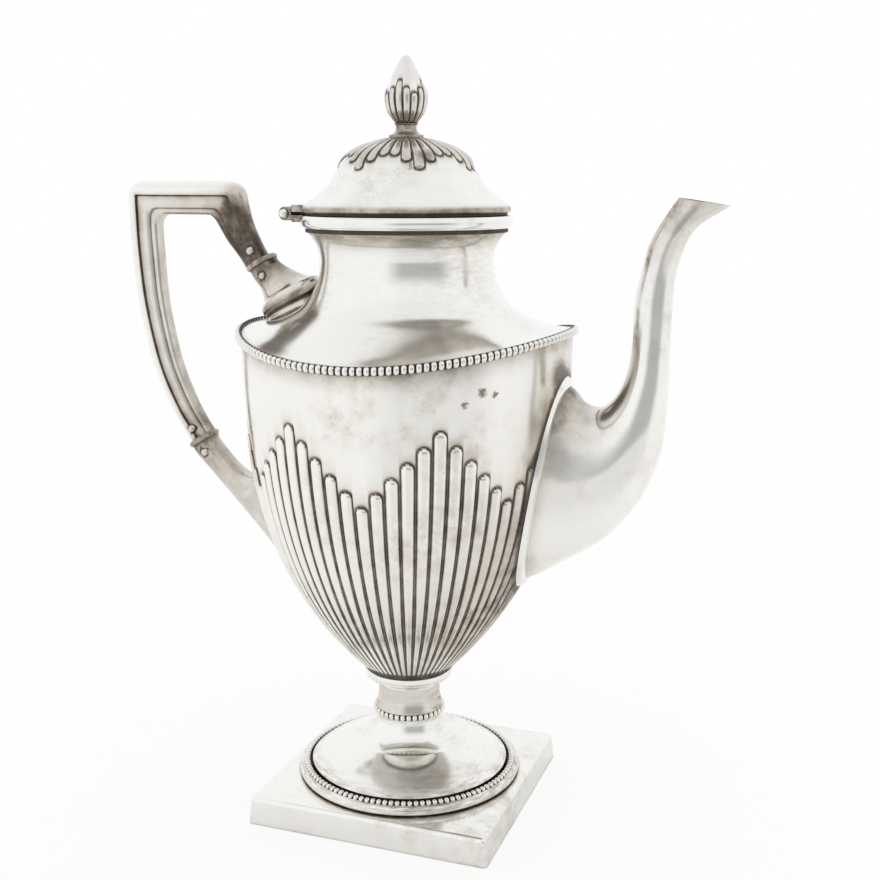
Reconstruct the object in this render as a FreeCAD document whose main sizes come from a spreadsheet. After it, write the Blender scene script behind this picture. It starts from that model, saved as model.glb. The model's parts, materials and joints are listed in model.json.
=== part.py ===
import FreeCAD
import Part
import math
import os
import Sketcher

# Coffee pot on a square plinth: urn body, spout at +X, handle at -X, lid hinged on the handle side.
# Origin under the middle of the plinth, +Z up, millimetres.

VEC = FreeCAD.Vector
UP = VEC(0, 0, 1)
SIDEWAYS = VEC(0, 1, 0)

# A rounded edge's radius as a share of the half thickness that it rounds
CROWN = 1.1

# Steps round half an oval
OVAL_STEPS = 12

# Steps along the body's curve, two for each arc, and how they crowd towards its foot
URN_STEPS = 10
URN_CROWDING = 1.2

SIZES = {
    # plinth
    "plinth_side": 91.8,
    "plinth_height": 10.1,
    "plinth_draft": 5.0,
    "plinth_edge": 1.6,
    "sheet_wall": 1.2,
    # foot
    "foot_rim_radius": 41.9,
    "foot_rim_height": 3.6,
    "foot_rim_inset": 0.6,
    "foot_rim_round": 2.0,
    "foot_bead_radius": 39.1,
    "foot_edge_radius": 37.2,
    "foot_edge_height": 4.7,
    "foot_height": 23.2,
    "foot_top_radius": 12.0,
    "foot_bore": 9.5,
    "foot_cove": 10.0,
    "foot_swell": 60.0,
    "foot_bend_reach": 8.7,
    "foot_bend_drop": 10.2,
    "bead_size": 1.2,
    # stem and collar
    "stem_bead_radius": 12.5,
    "stem_height": 9.3,
    "stem_waist": 11.6,
    "stem_flare": 12.9,
    "stem_cove": 14.0,
    "stem_neck": 2.6,
    "collar_radius": 16.5,
    "collar_height": 6.2,
    "collar_ledge": 3.4,
    "collar_cove": 4.6,
    "collar_cove_rise": 3.0,
    "collar_swell": 4.0,
    "collar_inset": 0.5,
    "collar_edge": 0.3,
    "spigot_radius": 16.1,
    # body
    "body_height": 125.3,
    "body_radius": 59.3,
    "body_fullness": 2.95,
    "saddle_rise": 3.9,
    "shoulder_rise": 10.7,
    "shoulder_dish": 1.6,
    "shoulder_bead_size": 1.3,
    "shoulder_bead_reach": 2.08,
    "shoulder_bead_round": 1.04,
    "pour_hole": 8.0,
    "pour_hole_level": 74.3,
    # neck and mouth
    "neck_joint_radius": "=lid_radius + 0.45",
    "neck_radius": "=lid_radius - 5.75",
    "neck_cove_height": 16.6,
    "neck_flare_height": 9.7,
    "neck_top_radius": "=lid_radius - 1.55",
    "band_radius": "=lid_radius - 0.95",
    "band_height": 1.5,
    "mouth_radius": "=lid_radius + 1.05",
    "mouth_height": 4.1,
    "mouth_bore": "=lid_radius - 3.75",
    "mouth_inset": 1.0,
    "mouth_round": 2.6,
    # lid
    "lid_radius": 36.75,
    "lid_height": 25.5,
    "lid_wall": 1.0,
    "lid_edge": 0.5,
    "lid_gap": 0.3,
    "bezel_radius": "=lid_radius - 1.15",
    "bezel_flange": 0.9,
    "bezel_depth": 6.5,
    "bezel_clearance": 0.6,
    # finial
    "finial_disc_radius": 6.1,
    "finial_stem_radius": 3.6,
    "finial_base_height": 4.8,
    "finial_disc_edge": 0.9,
    "finial_cove": 2.6,
    "finial_cove_rise": 1.9,
    "finial_flare": 0.8,
    "bud_radius": 7.6,
    "bud_height": 23.0,
    "stud_radius": 1.5,
    "nut_radius": 4.5,
    "nut_height": 2.6,
    "nut_chamfer": 0.8,
    "stud_end": 1.0,
    "fit_clearance": 0.05,
    # hinge
    "hinge_reach": 4.6,
    "hinge_width": 22.0,
    "hinge_barrel": 2.4,
    "hinge_pin": 1.1,
    "pin_ball": 1.6,
    "hinge_gap": 0.3,
    "knuckle_width": 8.2,
    "leaf_thickness": 2.4,
    "leaf_overlap": 3.0,
    # spout
    "spout_wall": 1.1,
    "border_width": 2.2,
    "border_height": 1.2,
    # handle
    "grip_half_width": 5.5,
    "grip_back": 5.0,
    "grip_step": 0.9,
    "grip_web": 7.3,
    "grip_inner": 2.75,
    "grip_shift": 0.9,
    "grip_corner": 5.0,
    "upper_joint_reach": -1.4,
    "upper_joint_height": 150.2,
    "upper_joint_lean": 30.5,
    "lower_joint_reach": 26.0,
    "lower_joint_height": 81.7,
    "lower_joint_lean": 32.4,
    "socket_depth": 5.6,
    "socket_half_width": 5.3,
    "socket_roll": 3.4,
    "socket_flange": 2.2,
    "insulator_radius": 6.6,
    "insulator_thickness": 1.8,
    "tenon_side": 4.6,
    "tenon_length": 8.5,
    "rivet_radius": 0.8,
    "rivet_head": 1.5,
    "rivet_dome": 1.0,
    "rivet_reach": 5.2,
    "grip_rivet_half": 4.4,
    "socket_rivet_half": 5.0,
}


class Size:
    """A length together with the sheet expression that gives it."""

    def __init__(self, value, text):
        self.value = value
        self.text = text

    def joined(self, sign, other, value):
        return Size(value, f"({self.text} {sign} {size(other).text})")

    def __add__(self, other):
        return self.joined("+", other, self.value + size(other).value)

    def __sub__(self, other):
        return self.joined("-", other, self.value - size(other).value)

    def __mul__(self, other):
        return self.joined("*", other, self.value * size(other).value)

    def __truediv__(self, other):
        return self.joined("/", other, self.value / size(other).value)

    def root(self):
        return Size(math.sqrt(self.value), f"sqrt({self.text})")


def size(number):
    return number if isinstance(number, Size) else Size(number, str(number))


doc = FreeCAD.newDocument("coffee_pot")
sheet = doc.addObject("Spreadsheet::Sheet", "Sizes")
for row, alias in enumerate(SIZES, start=1):
    sheet.set(f"A{row}", alias)
    sheet.setAlias(f"B{row}", alias)
for row, number in enumerate(SIZES.values(), start=1):
    sheet.set(f"B{row}", str(number))
doc.recompute()


def sized(alias):
    return Size(getattr(sheet, alias), f"Sizes.{alias}")


def length(alias):
    return getattr(sheet, alias)


# Levels, stacked from the floor
plinth_top = sized("plinth_height")
foot_top = plinth_top + sized("foot_height")
bead_height = sized("bead_size") * 2
stem_base = foot_top + bead_height
stem_top = stem_base + sized("stem_height")
ledge = stem_top + sized("collar_ledge")
collar_top = stem_top + sized("collar_height")
rim = collar_top + sized("body_height")
neck_joint = rim + sized("shoulder_rise")
waist = neck_joint + sized("neck_cove_height")
neck_top = waist + sized("neck_flare_height")
band_top = neck_top + sized("band_height")
mouth_top = band_top + sized("mouth_height")
flange_base = mouth_top + sized("lid_gap")
lid_base = flange_base + sized("bezel_flange")
lid_top = lid_base + sized("lid_height")
bud_base = lid_top + sized("finial_base_height")
hinge_level = (mouth_top + lid_base) / 2
hinge_middle = size(0) - sized("mouth_radius") - sized("hinge_reach")


def origin_plane(body, role):
    return next(item for item in body.Origin.OriginFeatures if item.Role == role)


def new_sketch(body, name, role):
    sketch = body.newObject("Sketcher::SketchObject", name)
    sketch.AttachmentSupport = (origin_plane(body, role), [""])
    sketch.MapMode = "FlatFace"
    return sketch


def bent_edge(start, end, radius):
    """Arc of a radius from start to end: a positive radius swells to the right of the way."""
    chord = end - start
    middle = (start + end) / 2
    reach = math.sqrt(max(0, radius**2 - chord.Length**2 / 4))
    left = VEC(-chord.y, chord.x, 0).normalize()
    centre = middle + left * reach * math.copysign(1, radius)
    circle = Part.Circle(centre, UP, abs(radius))
    angles = [math.atan2(spot.y - centre.y, spot.x - centre.x) for spot in (start, end)]
    if radius < 0:
        angles.reverse()
    return Part.ArcOfCircle(circle, angles[0], angles[1])


def draw(sketch, outline):
    """Closed outline through corners (across, up) or (across, up, radius of the arc that follows)."""
    corners = [tuple(size(number) for number in corner) for corner in outline]
    spots = [VEC(corner[0].value, corner[1].value, 0) for corner in corners]
    ends = []
    for index, corner in enumerate(corners):
        start, end = spots[index], spots[(index + 1) % len(spots)]
        if len(corner) == 2:
            edge = sketch.addGeometry(Part.LineSegment(start, end), False)
            ends.append((edge, 1, 2))
        else:
            edge = sketch.addGeometry(bent_edge(start, end, corner[2].value), False)
            ends.append((edge, 1, 2) if corner[2].value > 0 else (edge, 2, 1))
            radius = Sketcher.Constraint("Radius", edge, abs(corner[2].value))
            mark = sketch.addConstraint(radius)
            sketch.setExpression(f"Constraints[{mark}]", f"abs({corner[2].text})")
    for index, (edge, first, last) in enumerate(ends):
        following = ends[(index + 1) % len(ends)]
        sketch.addConstraint(Sketcher.Constraint("Coincident", edge, last, following[0], following[1]))
        for kind, axis, number in zip(("DistanceX", "DistanceY"), (-2, -1), corners[index]):
            if number.value == 0:
                sketch.addConstraint(Sketcher.Constraint("PointOnObject", edge, first, axis))
            else:
                distance = Sketcher.Constraint(kind, -1, 1, edge, first, number.value)
                mark = sketch.addConstraint(distance)
                sketch.setExpression(f"Constraints[{mark}]", number.text)


def turned(label, outline):
    """A body turned about its own Z axis."""
    body = doc.addObject("PartDesign::Body", label)
    sketch = new_sketch(body, f"{label}_outline", "XZ_Plane")
    draw(sketch, outline)
    turn = body.newObject("PartDesign::Revolution", f"{label}_turn")
    turn.Profile = sketch
    turn.ReferenceAxis = (sketch, ["V_Axis"])
    turn.Angle = 360
    return body


def square(half):
    corner = size(half)
    back = size(0) - corner
    return [(back, back), (corner, back), (corner, corner), (back, corner)]


def feature(label, shape):
    item = doc.addObject("Part::Feature", label)
    item.Shape = shape
    item.Placement = FreeCAD.Placement()
    return item


def outermost(shape):
    """The largest solid that a cut leaves."""
    return max(shape.Solids, key=lambda solid: solid.Volume)


def curve(points):
    line = Part.BSplineCurve()
    line.interpolate(points)
    return line.toShape()


def arcs(points):
    """Chain of arcs, each through three points of a profile."""
    return [Part.Arc(*points[first:first + 3]).toShape() for first in range(0, len(points) - 2, 2)]


def closed(faces):
    """Solid inside faces that meet along their edges."""
    shell = Part.makeShell(faces)
    shell.sewShape()
    solid = Part.makeSolid(Part.makeShell(shell.Faces))
    solid.fix(0.001, 0.001, 0.001)
    return solid


def skinned(ovals):
    """Solid through ovals (centre, half axis in the XZ plane, half width), one smooth face each side."""
    turns = [math.pi * step / OVAL_STEPS for step in range(OVAL_STEPS + 1)]
    sides = []
    for side in (SIDEWAYS, -SIDEWAYS):
        surface = Part.BSplineSurface()
        surface.interpolate([
            [centre + across * math.cos(a) + side * (half * math.sin(a)) for a in turns]
            for centre, across, half in ovals
        ])
        sides.append(surface)
    faces = [surface.toShape() for surface in sides]
    for end in (0, 1):
        rims = [surface.uIso(surface.bounds()[end]).toShape() for surface in sides]
        faces.append(Part.Face(Part.Wire(rims)))
    return closed(faces)


def offset_points(points, wall):
    """Points of a profile in the XZ plane moved by a wall towards the axis side."""
    moved = []
    for index, spot in enumerate(points):
        along = points[min(index + 1, len(points) - 1)] - points[max(index - 1, 0)]
        moved.append(spot + VEC(-along.z, 0, along.x).normalize() * wall)
    return moved


def spun(edges):
    face = Part.Face(Part.Wire(edges))
    return face.revolve(VEC(0, 0, 0), UP, 360)


def chain(points):
    return [Part.makeLine(start, end) for start, end in zip(points, points[1:])]


# Plinth: a tapered box of sheet, open below
def make_plinth():
    body = doc.addObject("PartDesign::Body", "square_plinth")
    sketch = new_sketch(body, "plinth_square", "XY_Plane")
    draw(sketch, square(sized("plinth_side") / 2))
    block = body.newObject("PartDesign::Pad", "plinth_block")
    block.Profile = sketch
    block.setExpression("Length", "Sizes.plinth_height")
    block.setExpression("TaperAngle", "-Sizes.plinth_draft")
    doc.recompute()
    edges = body.newObject("PartDesign::Fillet", "plinth_edges")
    shape = block.Shape
    upper = [n + 1 for n, edge in enumerate(shape.Edges) if edge.BoundBox.ZMax > plinth_top.value / 2]
    edges.Base = (block, [f"Edge{number}" for number in upper])
    edges.setExpression("Radius", "Sizes.plinth_edge")
    doc.recompute()
    inside = new_sketch(body, "plinth_inside", "XY_Plane")
    draw(inside, square(sized("plinth_side") / 2 - sized("sheet_wall")))
    hollow = body.newObject("PartDesign::Pocket", "plinth_hollow")
    hollow.Profile = inside
    hollow.Reversed = True
    hollow.setExpression("Length", "Sizes.plinth_height - Sizes.sheet_wall")
    hollow.setExpression("TaperAngle", "-Sizes.plinth_draft")


# Foot: moulding and bead ring round a trumpet dome, all standing on the plinth
def make_foot():
    wall = sized("sheet_wall")
    rim_radius = sized("foot_rim_radius")
    bead = sized("bead_size")
    bead_middle = sized("foot_bead_radius")
    rim_top = plinth_top + sized("foot_rim_height")
    inner = bead_middle - bead
    outer = bead_middle + bead
    bead_base = rim_top - bead
    turned("foot_moulding", [
        (inner, plinth_top), (rim_radius - sized("foot_rim_inset"), plinth_top, sized("foot_rim_round")),
        (outer, rim_top), (outer, bead_base), (inner, bead_base),
    ])
    bead_ring("foot_bead_ring", bead_middle, bead_base, bead)
    edge = sized("foot_edge_radius")
    edge_top = plinth_top + sized("foot_edge_height")
    top = sized("foot_top_radius")
    bend = top + sized("foot_bend_reach")
    bend_level = foot_top - sized("foot_bend_drop")
    turned("foot_dome", [
        (edge - wall, plinth_top), (edge, plinth_top), (edge, edge_top, sized("foot_swell")),
        (bend, bend_level, sized("foot_cove") * -1), (top, foot_top), (sized("foot_bore"), foot_top),
        (sized("foot_bore"), foot_top - wall), (top - wall, foot_top - wall * 1.5, sized("foot_cove") + wall),
        (bend - wall / 2, bend_level - wall, sized("foot_swell") * -1), (edge - wall, edge_top - wall),
    ])


def bead_ring(label, middle, base, bead):
    """Half-round ring that carries pearl beads, on a flat seat."""
    inner = middle - bead
    outer = middle + bead
    turned(label, [(inner, base), (outer, base), (outer, base + bead, bead * CROWN), (inner, base + bead)])


# Stem: bead ring, waisted sleeve and the collar that carries the body
def make_stem():
    bore = sized("foot_bore")
    bead = sized("bead_size")
    middle = sized("stem_bead_radius")
    turned("stem_bead_ring", [
        (bore, foot_top), (middle, foot_top, bead * CROWN), (middle, stem_base), (bore, stem_base),
    ])
    waist_radius = sized("stem_waist")
    turned("stem", [
        (bore, stem_base), (sized("stem_flare"), stem_base, sized("stem_cove") * -1),
        (waist_radius, stem_top - sized("stem_neck")), (waist_radius, stem_top), (bore, stem_top),
    ])
    collar = sized("collar_radius")
    spigot = sized("spigot_radius")
    edge = sized("collar_edge")
    turned("body_collar", [
        (bore, stem_top), (waist_radius + edge, stem_top, sized("collar_cove") * -1),
        (collar - sized("collar_inset"), stem_top + sized("collar_cove_rise"), sized("collar_swell")),
        (collar, collar_top - edge), (collar - edge, collar_top), (spigot, collar_top), (spigot, ledge),
        (bore, ledge),
    ])


# Body: the urn's curve, its sheet wall and the saddle line of its upper edge
def body_point(level):
    """Point of the outer wall at a share of the curve's height."""
    fullness = 1 - (1 - level) ** length("body_fullness")
    spread = length("body_radius") - length("spigot_radius")
    height = collar_top.value + level * length("body_height")
    return VEC(length("spigot_radius") + spread * fullness, 0, height)


def saddle(level, height):
    """Solid above a saddle surface that rises towards spout and handle and dips at the sides."""
    reach = 2 * length("body_radius")
    lift = 4 * length("saddle_rise")
    east, west = VEC(reach, 0, level + lift), VEC(-reach, 0, level + lift)
    north, south = VEC(0, reach, level - lift), VEC(0, -reach, level - lift)
    face = Part.makeRuledSurface(Part.makeLine(east, north), Part.makeLine(south, west))
    return face.extrude(VEC(0, 0, height))


def urn_curve_points():
    levels = [(step / URN_STEPS) ** URN_CROWDING for step in range(URN_STEPS + 1)]
    return [body_point(level) for level in levels]


def urn_solid():
    """The urn filled to its outer wall, taller than the shoulder line."""
    top = rim.value + 3 * length("saddle_rise")
    points = urn_curve_points()
    edges = arcs(points) + chain([
        points[-1], VEC(length("body_radius"), 0, top), VEC(0, 0, top), VEC(0, 0, ledge.value),
        VEC(length("spigot_radius"), 0, ledge.value), points[0],
    ])
    return spun(edges)


def make_urn():
    wall = length("sheet_wall")
    top = rim.value + 3 * length("saddle_rise")
    points = offset_points(urn_curve_points(), wall)
    points[0] = VEC(length("spigot_radius") - wall, 0, collar_top.value)
    points[-1] = VEC(length("body_radius") - wall, 0, rim.value)
    floor = ledge.value + wall
    hollow = spun(arcs(points) + chain([
        points[-1], VEC(length("body_radius") - wall, 0, top), VEC(0, 0, top), VEC(0, 0, floor),
        VEC(length("spigot_radius") - wall, 0, floor), points[0],
    ]))
    above = saddle(rim.value - wall, top - wall)
    return urn_solid().cut(hollow).cut(above).cut(pour_hole())


def pour_hole():
    """Round way from the body into the spout."""
    start = VEC(length("body_radius") / 2, 0, collar_top.value + length("pour_hole_level"))
    return Part.makeCylinder(length("pour_hole"), length("body_radius"), start, VEC(1, 0, 0))


# Shoulder: a dish from the saddle edge up to the neck, and the filled space below its upper face
def shoulder_ring(radius, level, share):
    count = 24
    turns = [2 * math.pi * step / count for step in range(count)]
    lift = length("saddle_rise") * share
    line = Part.BSplineCurve()
    line.interpolate(
        [VEC(radius * math.cos(a), radius * math.sin(a), level + lift * math.cos(2 * a)) for a in turns],
        PeriodicFlag=True,
    )
    return line.toShape()


def make_shoulder():
    wall = length("sheet_wall")
    outer, inner = length("body_radius"), length("neck_joint_radius")
    shares = [1, 0.75, 0.5, 0.25, 0]
    upper = []
    for share in shares:
        rise = length("shoulder_rise") * (1 - share) ** length("shoulder_dish")
        upper.append(VEC(inner + (outer - inner) * share, 0, rim.value + rise))
    lower = offset_points(upper, wall)
    lower[0] = upper[0] - VEC(0, 0, wall)
    lower[-1] = neck_foot(wall)
    rows = [[shoulder_ring(spot.x, spot.z, share**2) for spot, share in zip(points, shares)]
            for points in (upper, lower)]
    skins = [Part.makeLoft([Part.Wire(ring) for ring in row], False, False) for row in rows]
    edges = [Part.makeRuledSurface(rows[0][end], rows[1][end]) for end in (0, -1)]
    depth = VEC(0, 0, 3 * length("shoulder_rise"))
    below = skins[0].Faces[0].translated(-depth).extrude(depth)
    return closed(skins[0].Faces + skins[1].Faces + edges), below


def neck_foot(wall):
    """Inner corner of the neck's lower end, square to the cove."""
    reach = length("neck_joint_radius") - length("neck_radius")
    height = length("neck_cove_height")
    radius = (reach**2 + height**2) / (2 * reach)
    cosine, sine = (radius - reach) / radius, height / radius
    return VEC(length("neck_joint_radius") - wall * cosine, 0, neck_joint.value - wall * sine)


def make_shoulder_bead_ring():
    """Band round the saddle edge that covers the joint of wall and shoulder."""
    bead = length("shoulder_bead_size")
    inner = length("body_radius") + length("fit_clearance")
    middle = rim.value - length("sheet_wall") / 2
    height = 8 * length("saddle_rise")
    base = VEC(0, 0, middle - height / 2)
    tube = Part.makeCylinder(inner + length("shoulder_bead_reach"), height, base)
    band = tube.cut(Part.makeCylinder(inner, height, base)).common(saddle(middle - bead, 2 * bead))
    outer = [edge for edge in band.Edges if edge.BoundBox.XMax > inner + bead and edge.Length > 2 * inner]
    return band.makeFillet(length("shoulder_bead_round"), outer)


# Neck and mouth: two coves that meet at the waist, a thin band and a rounded rim
def make_neck():
    wall = sized("sheet_wall")
    waist_radius = sized("neck_radius")
    joint_reach = sized("neck_joint_radius") - waist_radius
    top_reach = sized("neck_top_radius") - waist_radius
    cove_height = sized("neck_cove_height")
    flare_height = sized("neck_flare_height")
    cove = (joint_reach * joint_reach + cove_height * cove_height) / (joint_reach * 2)
    flare = (top_reach * top_reach + flare_height * flare_height) / (top_reach * 2)
    foot_across = sized("neck_joint_radius") - wall * (cove - joint_reach) / cove
    foot_level = neck_joint - wall * cove_height / cove
    outside = flare + wall
    top_across = waist_radius + flare - (outside * outside - flare_height * flare_height).root()
    turned("neck", [
        (foot_across, foot_level), (sized("neck_joint_radius"), neck_joint, cove * -1),
        (waist_radius, waist, flare * -1), (sized("neck_top_radius"), neck_top),
        (top_across, neck_top, outside), (waist_radius - wall, waist, cove + wall),
    ])


def neck_solid():
    """The neck filled up to its waist, on a cone below the shoulder."""
    foot, depth = length("neck_joint_radius"), neck_joint.value - 3 * length("shoulder_rise")
    reach, height = foot - length("neck_radius"), length("neck_cove_height")
    radius = (reach**2 + height**2) / (2 * reach)
    low, high = VEC(foot, 0, neck_joint.value), VEC(length("neck_radius"), 0, waist.value)
    lean = math.asin(height / radius) / 2
    swell = length("neck_radius") + radius * (1 - math.cos(lean))
    middle = VEC(swell, 0, waist.value - radius * math.sin(lean))
    return spun([Part.Arc(low, middle, high).toShape()] + chain([
        high, VEC(0, 0, waist.value), VEC(0, 0, depth), VEC(foot + reach, 0, depth), low,
    ]))


def make_mouth():
    bore = sized("mouth_bore")
    band = sized("band_radius")
    turned("neck_band", [(bore, neck_top), (band, neck_top), (band, band_top), (bore, band_top)])
    edge = sized("mouth_radius") - sized("mouth_inset")
    turned("mouth_rim", [
        (bore, band_top), (edge, band_top, sized("mouth_round")), (edge, mouth_top), (bore, mouth_top),
    ])


# Lid: ogee dome, bezel ring below its edge, and the finial held by a stud and nut
def lid_points():
    """Outer profile from the flat seat of the finial to the rounded edge."""
    shares = [
        (0.177, 1), (0.356, 0.941), (0.536, 0.827), (0.637, 0.698), (0.68, 0.557), (0.765, 0.345),
        (0.905, 0.184), (0.984, 0.102),
    ]
    radius, height = length("lid_radius"), length("lid_height")
    return [VEC(radius * across, 0, lid_base.value + height * up) for across, up in shares]


def make_lid():
    wall, round_edge = length("lid_wall"), length("lid_edge")
    radius, base = length("lid_radius"), lid_base.value
    hole = length("stud_radius") + length("fit_clearance")
    points = lid_points()
    inner = offset_points(points, -wall)[:-1]
    inner[0] = points[0] - VEC(0, 0, wall)
    lip = [
        points[-1], VEC(radius, 0, points[-1].z - 2 * round_edge), VEC(radius, 0, base + round_edge),
        VEC(radius - round_edge, 0, base), VEC(inner[-1].x, 0, base), inner[-1],
    ]
    seat = [inner[0], VEC(hole, 0, inner[0].z), VEC(hole, 0, points[0].z), points[0]]
    return spun([curve(points)] + chain(lip) + [curve(inner[::-1])] + chain(seat))


def make_lid_fittings():
    bezel_outer = sized("mouth_bore") - sized("bezel_clearance")
    bezel_inner = bezel_outer - sized("sheet_wall")
    flange = sized("bezel_radius")
    bezel_base = flange_base - sized("bezel_depth")
    turned("lid_bezel", [
        (bezel_inner, bezel_base), (bezel_outer, bezel_base), (bezel_outer, flange_base),
        (flange, flange_base), (flange, lid_base), (bezel_inner, lid_base),
    ])
    stud = sized("stud_radius")
    hole = stud + sized("fit_clearance")
    disc = sized("finial_disc_radius")
    disc_top = lid_top + sized("finial_disc_edge")
    neck = sized("finial_stem_radius")
    flare = sized("finial_flare")
    turned("finial_base", [
        (hole, lid_top), (disc, lid_top), (disc, disc_top, sized("finial_cove") * -1),
        (neck, disc_top + sized("finial_cove_rise")), (neck, bud_base - flare), (neck + flare, bud_base),
        (hole, bud_base),
    ])
    nut_top = lid_top - sized("lid_wall")
    nut_base = nut_top - sized("nut_height")
    nut = sized("nut_radius")
    chamfer = sized("nut_chamfer")
    turned("finial_nut", [
        (hole, nut_base), (nut - chamfer, nut_base), (nut, nut_base + chamfer), (nut, nut_top),
        (hole, nut_top),
    ])
    stud_base = nut_base - sized("stud_end")
    stud_top = bud_base + sized("bud_radius")
    turned("finial_stud", [(0, stud_base), (stud, stud_base), (stud, stud_top), (0, stud_top)])


def bud_points():
    shares = [(0.51, 0), (0.895, 0.19), (1, 0.36), (0.87, 0.53), (0.6, 0.71), (0.25, 0.95), (0, 1)]
    radius, height = length("bud_radius"), length("bud_height")
    return [VEC(radius * across, 0, bud_base.value + height * up) for across, up in shares]


def make_bud():
    hole = length("stud_radius") + length("fit_clearance")
    depth = bud_base.value + length("bud_radius") + length("fit_clearance")
    points = bud_points()
    edges = [curve(points)] + chain([
        points[-1], VEC(0, 0, depth), VEC(hole, 0, depth), VEC(hole, 0, bud_base.value), points[0],
    ])
    return spun(edges)


# Hinge: leaves on rim and lid, knuckles on a pin along Y
def block(name, low, high):
    item = doc.addObject("Part::Box", name)
    for side, axis, start, end in zip(("Length", "Width", "Height"), "xyz", low, high):
        item.setExpression(side, (size(end) - start).text)
        item.setExpression(f"Placement.Base.{axis}", size(start).text)
    return item


def rod(name, radius, start, end):
    """Cylinder along Y on the hinge line."""
    item = doc.addObject("Part::Cylinder", name)
    item.Placement.Rotation = FreeCAD.Rotation(VEC(1, 0, 0), -90)
    item.setExpression("Radius", size(radius).text)
    item.setExpression("Height", (size(end) - start).text)
    for axis, number in zip("xyz", (hinge_middle, start, hinge_level)):
        item.setExpression(f"Placement.Base.{axis}", size(number).text)
    return item


def combined(kind, label, first, others):
    item = doc.addObject(kind, label)
    if kind == "Part::MultiFuse":
        item.Shapes = [first] + others
    else:
        item.Base = first
        item.Tool = others[0]
    return item


def make_hinge():
    half = sized("hinge_width") / 2
    knuckle = sized("knuckle_width") / 2
    barrel = sized("hinge_barrel")
    gap = sized("hinge_gap")
    thick = sized("leaf_thickness")
    bore = sized("hinge_pin")
    clear = barrel + gap
    leaf_start = hinge_middle + clear
    back = size(0) - half
    tongue_back = size(0) - knuckle
    rim_side = size(0) - sized("mouth_radius") + sized("leaf_overlap")
    pot_low = mouth_top - thick
    lid_high = lid_base + thick
    pot_leaf = block("pot_leaf_plate", (leaf_start, back, pot_low), (rim_side, half, mouth_top))
    pot_arms = []
    for name, start, end in (("near", back, tongue_back - gap), ("far", knuckle + gap, half)):
        pot_arms.append(rod(f"pot_knuckle_{name}", barrel, start, end))
        arm_low = hinge_level - barrel
        corners = (hinge_middle, start, arm_low), (leaf_start, end, mouth_top)
        pot_arms.append(block(f"pot_arm_{name}", *corners))
    pot = combined("Part::MultiFuse", "pot_hinge_blank", pot_leaf, pot_arms)
    pot_bored = combined("Part::Cut", "pot_hinge_bored", pot, [rod("pot_bore", bore, back, half)])
    combined("Part::Cut", "hinge_pot_leaf", pot_bored, [doc.getObject("mouth_rim")])
    lid_leaf = block("lid_leaf_plate", (leaf_start, back, lid_base), (rim_side, half, lid_high))
    arm_corners = (hinge_middle, tongue_back, lid_base), (leaf_start, knuckle, hinge_level + barrel)
    lid_arm = block("lid_arm", *arm_corners)
    lid_knuckle = rod("lid_knuckle", barrel, tongue_back, knuckle)
    lid = combined("Part::MultiFuse", "lid_hinge_blank", lid_leaf, [lid_arm, lid_knuckle])
    lid_bore = rod("lid_bore", bore + sized("fit_clearance"), tongue_back, knuckle)
    lid_bored = combined("Part::Cut", "lid_hinge_bored", lid, [lid_bore])
    combined("Part::Cut", "hinge_lid_leaf", lid_bored, [doc.getObject("lid_dome")])
    ball = sized("pin_ball")
    end = half + ball + (ball * ball - bore * bore).root()
    pin = turned("hinge_pin", [(0, size(0) - end, ball), (bore, back), (bore, half, ball), (0, end)])
    pin.Placement.Rotation = FreeCAD.Rotation(VEC(1, 0, 0), -90)
    pin.setExpression("Placement.Base.x", hinge_middle.text)
    pin.setExpression("Placement.Base.z", hinge_level.text)


# Spout: oval sections from a wide root on the body to the drawn-out lip
# Body height for which the heights on spout and handle are given
DRAWN_HEIGHT = 125.3


def body_level(height):
    """Height that stretches with the body up to its rim and moves with the rim above it."""
    body = length("body_height")
    if height < DRAWN_HEIGHT:
        return height * body / DRAWN_HEIGHT
    return height - DRAWN_HEIGHT + body


def spout_stations():
    """Inner edge, outer edge and half width of each section, measured from body side and collar."""
    side, seat = length("body_radius"), collar_top.value
    rows = [
        (-8, 111.4, -25, 36.1, 19.0), (1.2, 109.9, -13.3, 39.5, 18.6), (6.5, 104.7, -1.5, 46.2, 16.8),
        (12.5, 103.6, 18.4, 60.7, 14.3), (17.8, 108.9, 31.7, 82.9, 11.3), (21.2, 117.6, 34.9, 106.6, 8.2),
        (22.4, 127.7, 35, 124.1, 6.5), (22.8, 140.4, 35.4, 138.1, 6.2), (24.7, 150.3, 35.9, 147.9, 5.7),
        (27, 159.1, 37.9, 156.1, 5.5), (31.2, 167, 42.2, 164.6, 5.3), (36.1, 174.4, 53, 171.8, 5.0),
    ]
    return [
        (VEC(side + a, 0, seat + body_level(b)), VEC(side + c, 0, seat + body_level(d)), half)
        for a, b, c, d, half in rows
    ]


def spout_solid(growth):
    ovals = []
    for inner, outer, half in spout_stations():
        across = (outer - inner) / 2
        stretch = 1 + growth / across.Length
        ovals.append(((inner + outer) / 2, across * stretch, half + growth))
    return skinned(ovals)


def make_spout(urn):
    bore = spout_solid(-length("spout_wall"))
    return outermost(spout_solid(0).cut(bore).cut(urn))


def make_spout_border(urn):
    """Raised band round the root of the spout, on the body wall."""
    width = length("border_width")
    points = offset_points(urn_curve_points(), -length("border_height"))
    top = points[-1]
    edges = arcs(points) + chain([top, VEC(0, 0, top.z), VEC(0, 0, points[0].z), points[0]])
    layer = spun(edges).cut(urn)
    side = 4 * length("body_radius")
    near = Part.makeBox(side, side, side, VEC(0, -side / 2, 0))
    band = spout_solid(width).common(layer).common(near)
    return outermost(band.cut(spout_solid(0)))


# Handle: sockets on the pot, insulating rings with tenons, and the grip
def spot_from_side(reach, height):
    """Point of the handle's plane at a reach from the body side and a height above the collar."""
    return VEC(-length("body_radius") - reach, 0, collar_top.value + body_level(height))


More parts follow.
